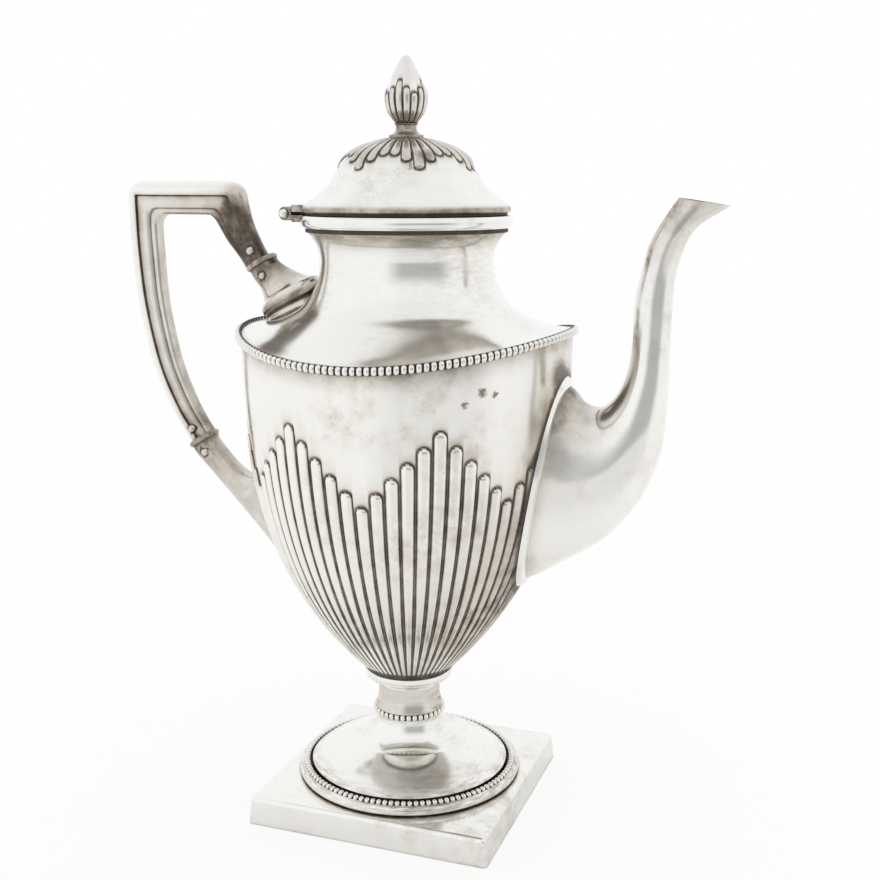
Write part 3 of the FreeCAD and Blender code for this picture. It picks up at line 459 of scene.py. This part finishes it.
pearl_ring("foot", "foot_bead_ring", 110, 39.2, 13.7, (0.95, 0.79, 0.95),
           [(37.6, 12.5), (40.6, 12.5), (40.5, 13.3), (37.7, 13.3)])
pearl_ring("stem", "stem_bead_ring", 36, 12.6, 34.5, (0.85, 0.8, 0.98),
           [(9.5, 33.3), (12.6, 33.3), (12.6, 35.7), (9.5, 35.7)])
pearl_ring("shoulder", "shoulder_bead_ring", 160, 60.2, 175.9, (0.93, 0.84, 1.2),
           [(59.3, 174.4), (59.8, 174.4), (59.8, 177.3), (59.3, 177.3)], SADDLE)

# %% [markdown]
# ## Shoulder and neck
# Shoulder and neck flow into each other without a line, as sheet does that is raised in one, so one outline
# is spun for both. The edge of the shoulder is then lifted to the saddle line: high towards spout and
# handle, low at the sides.

# %% Spin shoulder and neck
NECK_JOINT = 37.2
neck_profile = flow([
    (59.3, 176.5), (53.5, 178.2), (47.5, 180.8), (42.0, 184.0), (37.2, 187.5), (33.6, 192.6), (31.6, 198.2),
    (31.0, 203.8), (31.8, 208.4), (33.5, 211.6), (35.2, 213.5),
], 6)
neck_inside = [
    (34.0, 213.5), (30.6, 208.4), (29.8, 203.8), (30.4, 198.0), (32.5, 192.2), (36.3, 186.4), (42.0, 182.5),
    (47.5, 179.4), (53.5, 176.8), (58.0, 175.3),
]
outline = [tuple(row) for row in neck_profile] + neck_inside + [tuple(neck_profile[0])]
neck = spin_outline("shoulder_and_neck", outline)
close(neck, "pot", ["shoulder", "neck"])

# %% Lift the shoulder's edge
spots, angle, radius, height = round_axis(neck)
share = np.clip((radius - NECK_JOINT) / (BODY_RADIUS - NECK_JOINT), 0, 1)
spots[:, 2] += SADDLE * np.cos(2 * angle) * share**1.3
move_to(neck, spots)
paint(neck, "film", 0.6 * eased(206, 214, height) + 0.4 * eased(57, BODY_RADIUS, radius))
# Black at the edge beside the beads: partly dirt, partly painted shade.
paint(neck, "grime", 0.7 * eased(58.6, 59.2, radius))
print("edge of the shoulder from", RIM - SADDLE, "to", RIM + SADDLE, "mm")

# %% [markdown]
# ## The spout
# Such a spout is raised from sheet and soldered over the body: a wide oval root that narrows into a swan
# neck and ends in a lip drawn out to a point. A curve with a bevel would give a round tube of even shape,
# so ovals are listed along it instead, by their inner edge, outer edge and half width. The inner wall
# follows the same ovals, a little smaller, so that the mouth is open.

# %% Ovals along the spout
SPOUT_STATIONS = [
    # inner edge x, z; outer edge x, z; half width
    (51.3, 162.6, 34.3, 87.3, 19.0), (60.5, 161.1, 46.0, 90.7, 18.6), (65.8, 155.9, 57.8, 97.4, 16.8),
    (71.8, 154.8, 77.7, 111.9, 14.3), (77.1, 160.1, 91.0, 134.1, 11.3), (80.5, 168.8, 94.2, 157.8, 8.2),
    (81.7, 178.9, 94.3, 175.3, 6.5), (82.1, 191.6, 94.7, 189.3, 6.2), (84.0, 201.5, 95.2, 199.1, 5.7),
    (86.3, 210.3, 97.2, 207.3, 5.5), (90.5, 218.2, 101.5, 215.8, 5.3), (95.4, 225.6, 112.2, 223.1, 5.0),
]
SPOUT_WALL = 1.0
SPOUT_TURNS = np.linspace(0, 2 * math.pi, 49)


def spout_rows(shrink, steps):
    """Rows of points on the ovals, made smaller by a wall and narrowed to a point at the lip."""
    rows = []
    stations = flow(SPOUT_STATIONS, steps)
    for number, (ax, az, bx, bz, half) in enumerate(stations):
        middle = np.array([(ax + bx) / 2, 0, (az + bz) / 2])
        reach = np.array([(bx - ax) / 2, 0, (bz - az) / 2])
        reach *= 1 - shrink / np.linalg.norm(reach)
        point = 0.5 * eased(0.86, 1, number / (len(stations) - 1))
        narrow = (half - shrink) * np.sin(SPOUT_TURNS) * (1 - point * (1 + np.cos(SPOUT_TURNS)) / 2)
        rows.append(middle + np.outer(np.cos(SPOUT_TURNS), reach) + np.outer(narrow, [0, 1, 0]))
    return np.array(rows)


# %% Lay the spout's grid over its skin and back along its lining
skin, lining = spout_rows(0, 7), spout_rows(SPOUT_WALL, 4)[::-1]
spots = np.concatenate([skin, lining, skin[:1]])
along = np.linspace(0, 1, len(skin))[:, None]
inner_side = (1 - np.cos(SPOUT_TURNS))[None, :] / 2
film = inner_side**3 * (0.6 * eased(0.4, 0.1, along) + 0.4 * eased(0.7, 0.95, along))
film = film + 0.3 * eased(0.15, 0.09, along) + 0.2 * eased(0.6, 0.95, along)
# The lining is dark all over: partly tarnish, partly painted shade inside the tube.
film = np.concatenate([film, np.full((len(lining) + 1, len(SPOUT_TURNS)), 0.9)])
spout = wrap_grid("swan_spout", spots, film=film)
close(spout, "pot", ["spout"])

# %% [markdown]
# ## The handle
# The grip has a round back, a sharp step and a web that ends in a small roll on the inside. Its top is a
# straight bar with a rounded corner at each end. Such a grip could be cast in two halves. One section swept
# along a path would fold over at the corners, so sections are listed along the grip and fan out there.
# Hands rub the back bright, while the short limb near the pot is nearly black.

# %% Sections along the grip
GRIP_STATIONS = [
    # step line x, z; outward x, z; inner edge x, z; scale; stain
    (-86.5, 133.6, -0.844, -0.536, -81.4, 136.6, 0.8, 0.5),
    (-88.9, 137.3, -0.86, -0.51, -83.8, 140.2, 0.8, 0.4),
    (-94.2, 146.0, -0.89, -0.455, -88.7, 148.8, 0.85, 0.25),
    (-100.9, 162.0, -0.955, -0.297, -94.7, 164.0, 0.9, 0.15),
    (-105.8, 184.5, -0.985, -0.173, -99.1, 185.7, 0.95, 0.1),
    (-107.6, 205.0, -0.997, -0.08, -100.4, 205.6, 1.0, 0.1),
    (-108.0, 217.5, -1.0, -0.02, -100.7, 213.2, 1.0, 0.1),
    (-108.1, 224.2, -1.0, 0.0, -100.5, 215.4, 1.0, 0.1),
    (-108.1, 225.6, -0.94, 0.34, -99.8, 216.8, 1.0, 0.1),
    (-107.9, 226.0, -0.707, 0.707, -98.8, 217.9, 1.0, 0.1),
    (-107.5, 226.1, -0.34, 0.94, -97.4, 218.5, 1.0, 0.1),
    (-106.2, 226.1, 0.0, 1.0, -95.6, 218.7, 1.0, 0.1),
    (-98.0, 226.0, 0.0, 1.0, -92.0, 218.7, 1.0, 0.15),
    (-84.0, 226.0, 0.0, 1.0, -84.5, 218.7, 1.0, 0.2),
    (-72.5, 226.0, 0.02, 1.0, -78.6, 218.6, 1.0, 0.35),
    (-69.8, 225.9, 0.3, 0.954, -77.1, 218.0, 0.99, 0.5),
    (-68.9, 225.6, 0.66, 0.75, -75.9, 216.9, 0.98, 0.65),
    (-68.4, 224.8, 0.9, 0.43, -74.9, 215.4, 0.96, 0.8),
    (-67.6, 221.0, 0.965, 0.26, -73.4, 212.9, 0.93, 1.1),
    (-65.4, 214.3, 0.93, 0.37, -70.8, 208.8, 0.87, 1.3),
    (-61.7, 207.0, 0.885, 0.465, -66.4, 203.4, 0.81, 1.35),
    (-57.8, 200.8, 0.861, 0.508, -62.8, 197.9, 0.78, 1.35),
]
print("sections set along the grip:", len(GRIP_STATIONS))

# %% One section of the grip: half of it, and the other half mirrored
GRIP_BACK = 5.0
GRIP_HALF_WIDTH = 5.5
HALF_SECTION = [
    # share of the half width; share of the way to the back (+) or inner edge (-); film; black at the step and
    # the roll, partly dirt and partly painted shade
    (0, 1, -0.4, 0), (0.3, 0.955, -0.4, 0), (0.57, 0.82, -0.35, 0), (0.8, 0.6, -0.3, 0),
    (0.94, 0.33, -0.2, 0), (1, 0.08, 0.05, 0.1), (0.985, 0, 0.2, 0.4), (0.85, -0.03, 0.4, 0.9),
    (0.8, -0.1, 0.25, 0.3), (0.72, -0.4, 0.1, 0), (0.64, -0.6, 0.15, 0.1), (0.56, -0.68, 0.4, 0.5),
    (0.58, -0.76, 0.2, 0.1), (0.55, -0.88, 0.15, 0), (0.42, -0.97, 0.3, 0.1), (0, -1, 0.35, 0.15),
]
mirrored_half = [(-across, depth, film, grime) for across, depth, film, grime in HALF_SECTION[-2:0:-1]]
section = np.array(HALF_SECTION + mirrored_half + HALF_SECTION[:1])
print("points round the grip:", len(section) - 1)

# %% Lay the grip's grid
back, web = np.clip(section[:, 1], 0, None), np.clip(-section[:, 1], 0, None)
rows, film, grime = [], [], []
for x, z, out_x, out_z, in_x, in_z, scale, stain in flow(GRIP_STATIONS, 5):
    step = np.array([x, 0, z])
    out = np.array([out_x, 0, out_z]) / math.hypot(out_x, out_z) * GRIP_BACK * scale
    inward = np.array([in_x, 0, in_z]) - step
    side = np.outer(section[:, 0] * GRIP_HALF_WIDTH * scale, [0, 1, 0])
    rows.append(step + side + np.outer(back, out) + np.outer(web, inward))
    film.append(section[:, 2] + stain)
    grime.append(section[:, 3])
grip = wrap_grid("moulded_grip", np.array(rows), film=np.array(film), grime=np.array(grime))
close(grip, "pot", ["handle_grip"], crease=28)

# %% [markdown]
# ## The sockets
# Two sockets on the pot carry the handle. The upper one flares to a crisp edge, then a cushion roll, a cove
# and a flange that lies on the neck and shoulder; the lower one runs out in a plain curve on the body. Both
# lean and their roots are oval, so they can't be spun; ovals are set along them, as on the spout.

# %% Sections of the sockets
UPPER_SOCKET = [
    # outer edge x, z; inner edge x, z; half width; film; black at the ends and in the coves, partly dirt and
    # partly painted shade
    (-62.2, 197.8, -52.6, 203.5, 5.3, 0.9, 0.6), (-61.4, 196.4, -51.7, 202.6, 5.3, 0.8, 0),
    (-60.2, 194.6, -50.6, 201.6, 5.4, 0.75, 0), (-57.4, 191.2, -46.1, 199.2, 6.2, 0.55, 0),
    (-56.5, 187.6, -40.2, 197.1, 7.9, 0.35, 0), (-56.1, 186.3, -36.2, 197.2, 9.2, 0.3, 0.1),
    (-56.2, 186.0, -35.6, 197.2, 9.5, 0.2, 0), (-57.0, 184.6, -34.4, 196.2, 10.2, 0.25, 0),
    (-57.1, 183.0, -33.9, 194.6, 10.5, 0.6, 0), (-56.3, 181.6, -34.0, 193.0, 10.2, 0.7, 0.3),
    (-55.3, 180.8, -34.6, 191.8, 9.6, 0.6, 0.8), (-55.4, 179.6, -34.0, 190.6, 9.8, 0.35, 0.2),
    (-56.0, 178.7, -33.4, 189.6, 10.4, 0.3, 0), (-55.8, 177.7, -32.6, 188.4, 10.4, 0.4, 0.6),
    (-52.0, 172.0, -30.0, 183.0, 10.4, 0.5, 0.3),
]
LOWER_SOCKET = [
    # the same
    (-89.5, 129.3, -80.1, 135.3, 5.3, 0.7, 0.5), (-87.2, 126.2, -78.2, 131.8, 5.2, 0.6, 0),
    (-77.9, 116.9, -69.9, 123.3, 5.3, 0.45, 0), (-61.8, 100.6, -62.8, 120.6, 7.0, 0.3, 0),
    (-52.4, 90.1, -47.2, 123.1, 8.6, 0.4, 0), (-45.7, 87.6, -38.9, 123.6, 9.0, 0.5, 0.3),
]
print("ovals set along the sockets:", len(UPPER_SOCKET), "and", len(LOWER_SOCKET))


# %% Lay the sockets' grids
SOCKET_TURNS = np.linspace(0, 2 * math.pi, 41)


def lay_socket(name, stations, steps, node):
    """A grid over a socket's ovals, with its film and its black marks of dirt and painted shade, in place of
    a CAD socket.
    """
    rows = []
    stations = flow(stations, steps)
    for ax, az, bx, bz, half in stations[:, :5]:
        middle, reach = [(ax + bx) / 2, 0, (az + bz) / 2], [(bx - ax) / 2, 0, (bz - az) / 2]
        side = np.outer(np.sin(SOCKET_TURNS), [0, half, 0])
        rows.append(middle + np.outer(np.cos(SOCKET_TURNS), reach) + side)
    shape = np.ones(len(SOCKET_TURNS))
    film, grime = np.outer(stations[:, 5], shape), np.outer(stations[:, 6], shape)
    piece = wrap_grid(name, np.array(rows), film=film, grime=grime)
    close(piece, "pot", [node])


lay_socket("moulded_socket", UPPER_SOCKET, 4, "upper_socket")
lay_socket("plain_socket", LOWER_SOCKET, 6, "lower_socket")

# %% [markdown]
# ## Old silver
# Silver is bright where it is rubbed and dark where polish never reaches. A plain metal shader would look
# new, and a picture of tarnish wouldn't follow the grooves. So tarnish and painted shade are one number, from
# clean metal over a brown film to black, and one colour ramp turns it into a colour. Several causes go into
# it: clouds of film, small pits, painted shade in corners from ambient occlusion, and the marks painted on
# the pieces, which hold dirt and painted shade as well.

# %% Values that Python can calculate with
class Value:
    """An output of a node; sums and products of such values become Math nodes."""

    def __init__(self, socket):
        self.socket = socket

    def math(self, operation, *others):
        return add(self.socket.id_data, "ShaderNodeMath", {"operation": operation}, {
            place: other for place, other in enumerate((self,) + others)
        })

    def __add__(self, other):
        return self.math("ADD", other)

    def __sub__(self, other):
        return self.math("SUBTRACT", other)

    def __rsub__(self, other):
        return (self * -1) + other

    def __mul__(self, other):
        return self.math("MULTIPLY", other)

    __radd__ = __add__
    __rmul__ = __mul__

    def ramp(self, low, high):
        """0 below low, 1 above high, and a soft step between."""
        return add(self.socket.id_data, "ShaderNodeMapRange", {"interpolation_type": "SMOOTHSTEP"}, {
            "Value": self, "From Min": low, "From Max": high,
        })


# %% Nodes with their settings and inputs
def set_stops(elements, stops):
    """Puts the colours of a ramp at their places."""
    while len(elements) < len(stops):
        elements.new(0.5)
    for element, (place, colour) in zip(elements, stops):
        element.position = place
        element.color = colour


def feed(node, inputs):
    """Gives sockets of a node their values or links."""
    for place, value in inputs.items():
        if isinstance(value, Value):
            node.id_data.links.new(value.socket, node.inputs[place])
        else:
            node.inputs[place].default_value = value


def add(tree, kind, settings=None, inputs=None, output=0):
    """Adds a node, sets it up, feeds its sockets and returns one output."""
    node = tree.nodes.new(kind)
    for name, setting in (settings or {}).items():
        if name == "stops":
            set_stops(node.color_ramp.elements, setting)
        else:
            setattr(node, name, setting)
    feed(node, inputs or {})
    return Value(node.outputs[output])


def new_material(name):
    material = bpy.data.materials.new(name)
    material.use_nodes = True
    tree = material.node_tree
    return material, tree, tree.nodes["Principled BSDF"]


# %% The silver shader
# Colours from clean silver over brown film to black; the dark end also gives the painted shade.
TARNISH_AND_SHADE_COLOURS = [
    (0, (0.93, 0.915, 0.875, 1)), (0.35, (0.62, 0.57, 0.5, 1)), (0.7, (0.2, 0.165, 0.13, 1)),
    (1, (0.03, 0.024, 0.018, 1)),
]


def silver(name, film=0.35, pits=0.5, dark=0.0, roughness=0.12, streaks=1, bands=(), marks=()):
    """Old silver, with painted shade in its corners. Bands are (low, high, amount) in height; marks are (x,
    y, z, radius, amount); all in mm.
    """
    material, tree, shader = new_material(name)
    spot = add(tree, "ShaderNodeTexCoord", output="Object")
    drawn = add(tree, "ShaderNodeVectorMath", {"operation": "MULTIPLY"}, {0: spot, 1: (1, 1, streaks)})

    def noise(scale, detail, vector=spot):
        return add(tree, "ShaderNodeTexNoise", {}, {
            "Vector": vector, "Scale": scale, "Detail": detail, "Roughness": 0.6,
        })

    def painted(mark):
        return add(tree, "ShaderNodeAttribute", {"attribute_name": mark}, output="Fac")

    clouds = noise(28, 5).ramp(0.42, 0.78)
    mottle = noise(170, 6, drawn).ramp(0.32, 0.72)
    grains = noise(1100, 3).ramp(0.6, 0.72)
    brown = clouds * mottle * film + (painted("film") + dark) * (0.7 + 0.35 * mottle)
    height = add(tree, "ShaderNodeSeparateXYZ", {}, {0: spot}, output="Z")
    for low, high, amount in bands:
        above = height.ramp((low - 2) * MM, (low + 2) * MM)
        beyond = height.ramp((high - 2) * MM, (high + 2) * MM)
        brown = brown + above * (1 - beyond) * mottle * amount
    for x, y, z, reach, amount in marks:
        place = (x * MM, y * MM, z * MM)
        away = add(tree, "ShaderNodeVectorMath", {"operation": "DISTANCE"}, {0: spot, 1: place}, "Value")
        away = away + (noise(900, 3) - 0.5) * 4 * MM
        brown = brown + (1 - away.ramp(0.3 * reach * MM, reach * MM)) * amount
    # Painted shade: ambient occlusion darkens corners and gaps, standing in for tarnish there too.
    occlusion_shade = add(tree, "ShaderNodeAmbientOcclusion", {"samples": 6}, {"Distance": 2.2 * MM}, output="AO")
    black = (1 - occlusion_shade).ramp(0.25, 0.75) * (0.6 + 0.4 * mottle)
    black = black.math("MAXIMUM", painted("grime").ramp(0.1, 0.85) * (0.8 + 0.25 * mottle))
    black = black.math("MAXIMUM", grains * clouds * pits)
    brown = 0.92 * brown.math("MINIMUM", 1.0)
    tarnish_and_shade = brown + black - brown * black
    dents = noise(45, 2) + 0.002 * noise(700, 3, drawn)
    feed(shader, {
        "Base Color": add(tree, "ShaderNodeValToRGB", {"stops": TARNISH_AND_SHADE_COLOURS}, {0: tarnish_and_shade}),
        "Roughness": roughness + 0.22 * tarnish_and_shade + 0.05 * noise(300, 2),
        "Metallic": 1 - 0.5 * tarnish_and_shade.ramp(0.7, 1),
        "Normal": add(tree, "ShaderNodeBump", {}, {"Strength": 0.12, "Distance": 0.6 * MM, "Height": dents}),
    })
    return material


# %% [markdown]
# Each kind of piece gets its own state of wear. What a cloth reaches is nearly clean; the foot keeps film
# beside its beads, the stem is brown all over, and the beds of the beads, the band at the mouth and the
# ring under the lid are black, which is painted shade in these joints as well as tarnish. A few brown spots
# are set where they catch the eye.

# %% The finishes of the pot
bright = silver("rubbed_silver")
rubbed_pearls = silver("pearl_silver", film=0.2, dark=0.05)
body = silver("chased_silver", film=0.5, pits=0.7, marks=[
    (37.4, -45.9, 161.0, 1.6, 0.65), (42.1, -41.7, 164.5, 2.2, 0.65), (45.3, -38.1, 163.5, 1.4, 0.65),
    (58.7, -7.8, 166.0, 9.0, 0.5),
])
ribbed = silver("rayed_silver", film=0.3, pits=0.6, marks=[
    (13.5, -17.3, 239.4, 4.5, 0.32), (10.3, -22.1, 235.8, 1.8, 0.45),
])
necked = silver("neck_silver", film=0.2, pits=0.3, streaks=4)
turned_foot = silver("foot_silver", film=0.45, streaks=7, bands=[(32, 36, 0.5), (12, 16, 0.4)])
stem = silver("stem_silver", film=0.9, dark=0.3, streaks=4)
RIVETS = [(-60.5, 4.6, 205.9), (-55.3, 5.2, 196.9), (-88.1, 4.7, 137.3), (-82.5, 5.2, 128.5)]
worn = silver("handled_silver", film=0.15, pits=1.0, roughness=0.1, marks=[
    (x, side * y, z, 2.6, 0.9) for x, y, z in RIVETS for side in (-1, 1)
])
rivet_heads = silver("rivet_silver", film=0.8, pits=1.0, dark=0.3)
fittings = silver("fitting_silver", film=0.9, pits=1.0, dark=0.65, roughness=0.14)
# Black for the beds of the beads, the band at the mouth and the ring under the lid: painted shade in these
# joints, and tarnish.
shade_and_tarnish_black = silver("black_silver", dark=1.3, pits=1.0, roughness=0.4)
print("states of silver:", sum(material.name.endswith("_silver") for material in bpy.data.materials))

# %% [markdown]
# Two thin rings part the grip from its sockets and keep the heat away from the hand. They look like old
# bone. Their CAD shape is right, so they only get a finish: pale, with brown stains, and corners darkened as
# painted shade.

# %% The insulating rings
def bone(name):
    material, tree, shader = new_material(name)
    spot = add(tree, "ShaderNodeTexCoord", output="Object")
    cloud = add(tree, "ShaderNodeTexNoise", {}, {"Vector": spot, "Scale": 300.0, "Detail": 4.0})
    stain = cloud.ramp(0.4, 0.75)
    # Painted shade: ambient occlusion darkens the corners where the rings meet the metal.
    occlusion_shade = add(tree, "ShaderNodeAmbientOcclusion", {"samples": 6}, {"Distance": 1.5 * MM}, output="AO")
    stain = stain.math("MAXIMUM", (1 - occlusion_shade).ramp(0.1, 0.5))
    colour = add(tree, "ShaderNodeMix", {"data_type": "RGBA"}, {
        0: stain, 6: (0.5, 0.46, 0.39, 1), 7: (0.12, 0.095, 0.07, 1),
    }, output=2)
    feed(shader, {"Base Color": colour, "Roughness": 0.35 + 0.2 * stain})
    return material


ring_bone = bone("pale_bone")
print("finish of the rings:", ring_bone.name)

# %% Give every piece its finish
FINISHES = [
    (body, ["lobed_urn"]), (ribbed, ["rayed_lid", "calyx_bud"]), (necked, ["shoulder_and_neck"]),
    (turned_foot, ["foot_dome", "foot_moulding", "body_collar"]), (stem, ["stem"]),
    (worn, ["moulded_grip", "moulded_socket", "plain_socket"]),
    (rivet_heads, ["upper_grip_rivet", "upper_socket_rivet", "lower_grip_rivet", "lower_socket_rivet"]),
    (fittings, ["hinge_pot_leaf", "hinge_lid_leaf", "finial_base"]),
    (shade_and_tarnish_black, ["lid_bezel", "neck_band", "foot_bed", "stem_bed", "shoulder_bed"]),
    (rubbed_pearls, ["foot_pearls", "stem_pearls", "shoulder_pearls"]),
    (ring_bone, ["upper_insulator", "lower_insulator"]),
]
finish_of = {name: material for material, names in FINISHES for name in names}
for piece in bpy.data.objects:
    if piece.type == "MESH":
        piece.data.materials.clear()
        piece.data.materials.append(finish_of.get(piece.name, bright))
print("pieces with a finish of their own:", len(finish_of))

# %% [markdown]
# ## Studio and camera
# The pot stands on white paper in a bright tent. Silver shows only what is around it, and in plain white it
# would lose its form. So the tent has a grey side behind the camera, from straight ahead round to the
# right; it gives the metal its soft dark core.

# %% Camera at the photograph's place
CAMERA_SPOT = (161.7, -412.9, 229.8)
CAMERA_TURN = 19.87
CAMERA_PITCH = 11.69
FOCAL_PIXELS = 1234.8
PICTURE_PIXELS = 880
SENSOR_WIDTH = 36
camera_data = bpy.data.cameras.new("photo_camera")
camera_data.sensor_width = SENSOR_WIDTH
camera_data.lens = FOCAL_PIXELS / PICTURE_PIXELS * SENSOR_WIDTH
camera = bpy.data.objects.new("photo_camera", camera_data)
bpy.context.scene.collection.objects.link(camera)
camera.location = Vector(CAMERA_SPOT) * MM
camera.rotation_euler = (math.radians(90 - CAMERA_PITCH), 0, math.radians(CAMERA_TURN))
bpy.context.scene.camera = camera
bpy.context.scene.view_settings.view_transform = "Standard"
print("lens:", round(camera_data.lens, 1), "mm")

# %% The grey side, by its direction round the pot
CAMERA_SIDE = math.atan2(CAMERA_SPOT[1], CAMERA_SPOT[0])


def stage_spot(tree):
    """A spot's place across, along and up, on the floor or the tent."""
    spot = add(tree, "ShaderNodeTexCoord", output="Object")
    return [add(tree, "ShaderNodeSeparateXYZ", {}, {0: spot}, output=axis) for axis in "XYZ"]


def grey_side(x, y):
    """How grey the stage is at a spot: 1 from straight behind the camera to its right, 0 elsewhere."""
    right = y.math("ARCTAN2", x) - CAMERA_SIDE
    side = right.ramp(math.radians(-32), math.radians(-4))
    side = side * (1 - 0.9 * right.ramp(math.radians(38), math.radians(62)))
    return side * (1 - right.ramp(math.radians(100), math.radians(140)))


# %% The floor
FLOOR_SIDE = 6
WHITE = (1, 1, 1, 1)
bpy.ops.mesh.primitive_plane_add(size=FLOOR_SIDE)
floor = bpy.context.object
floor.name = "white_floor"
paper, tree, shader = new_material("white_paper")
seen = add(tree, "ShaderNodeLightPath", output="Is Camera Ray")
mirrored = add(tree, "ShaderNodeLightPath", output="Is Glossy Ray")
x, y = stage_spot(tree)[:2]
reach = (x * x + y * y).math("SQRT")
shade = 0.95 - 0.13 * mirrored * grey_side(x, y) * reach.ramp(0.1, 0.3)
feed(shader, {"Base Color": shade, "Roughness": 0.9})
glow = add(tree, "ShaderNodeEmission", {}, {"Color": WHITE, "Strength": 1.0})
mix = add(tree, "ShaderNodeMixShader", {}, {0: 0.8 * seen, 1: Value(shader.outputs[0]), 2: glow})
feed(tree.nodes["Material Output"], {"Surface": mix})
floor.data.materials.append(paper)
print("floor:", FLOOR_SIDE, "m square")

# %% The light
world = bpy.data.worlds.new("white_tent")
bpy.context.scene.world = world
world.use_nodes = True
feed(world.node_tree.nodes["Background"], {"Color": WHITE, "Strength": 1.0})
print("light:", world.name)

# %% The tent, seen by the metal alone
TENT_RADIUS = 1.2
bpy.ops.mesh.primitive_uv_sphere_add(segments=96, ring_count=48, radius=TENT_RADIUS)
tent = bpy.context.object
tent.name = "tent_dome"
for kind in ("camera", "diffuse", "shadow", "transmission", "volume_scatter"):
    setattr(tent, f"visible_{kind}", False)
cloth = bpy.data.materials.new("tent_cloth")
cloth.use_nodes = True
tree = cloth.node_tree
x, y, up = stage_spot(tree)
grey = grey_side(x, y) * (0.5 - 0.46 * up.ramp(0.3 * TENT_RADIUS, 0.62 * TENT_RADIUS))
grey = grey + 0.06 * up.ramp(0.7 * TENT_RADIUS, 0.95 * TENT_RADIUS)
glow = add(tree, "ShaderNodeEmission", {}, {"Color": (0.97, 0.985, 1, 1)})
dark = add(tree, "ShaderNodeEmission", {}, {"Color": (0, 0, 0, 1)})
mix = add(tree, "ShaderNodeMixShader", {}, {0: grey, 1: glow, 2: dark})
feed(tree.nodes["Material Output"], {"Surface": mix})
tent.data.materials.append(cloth)
print("tent:", TENT_RADIUS, "m in radius")
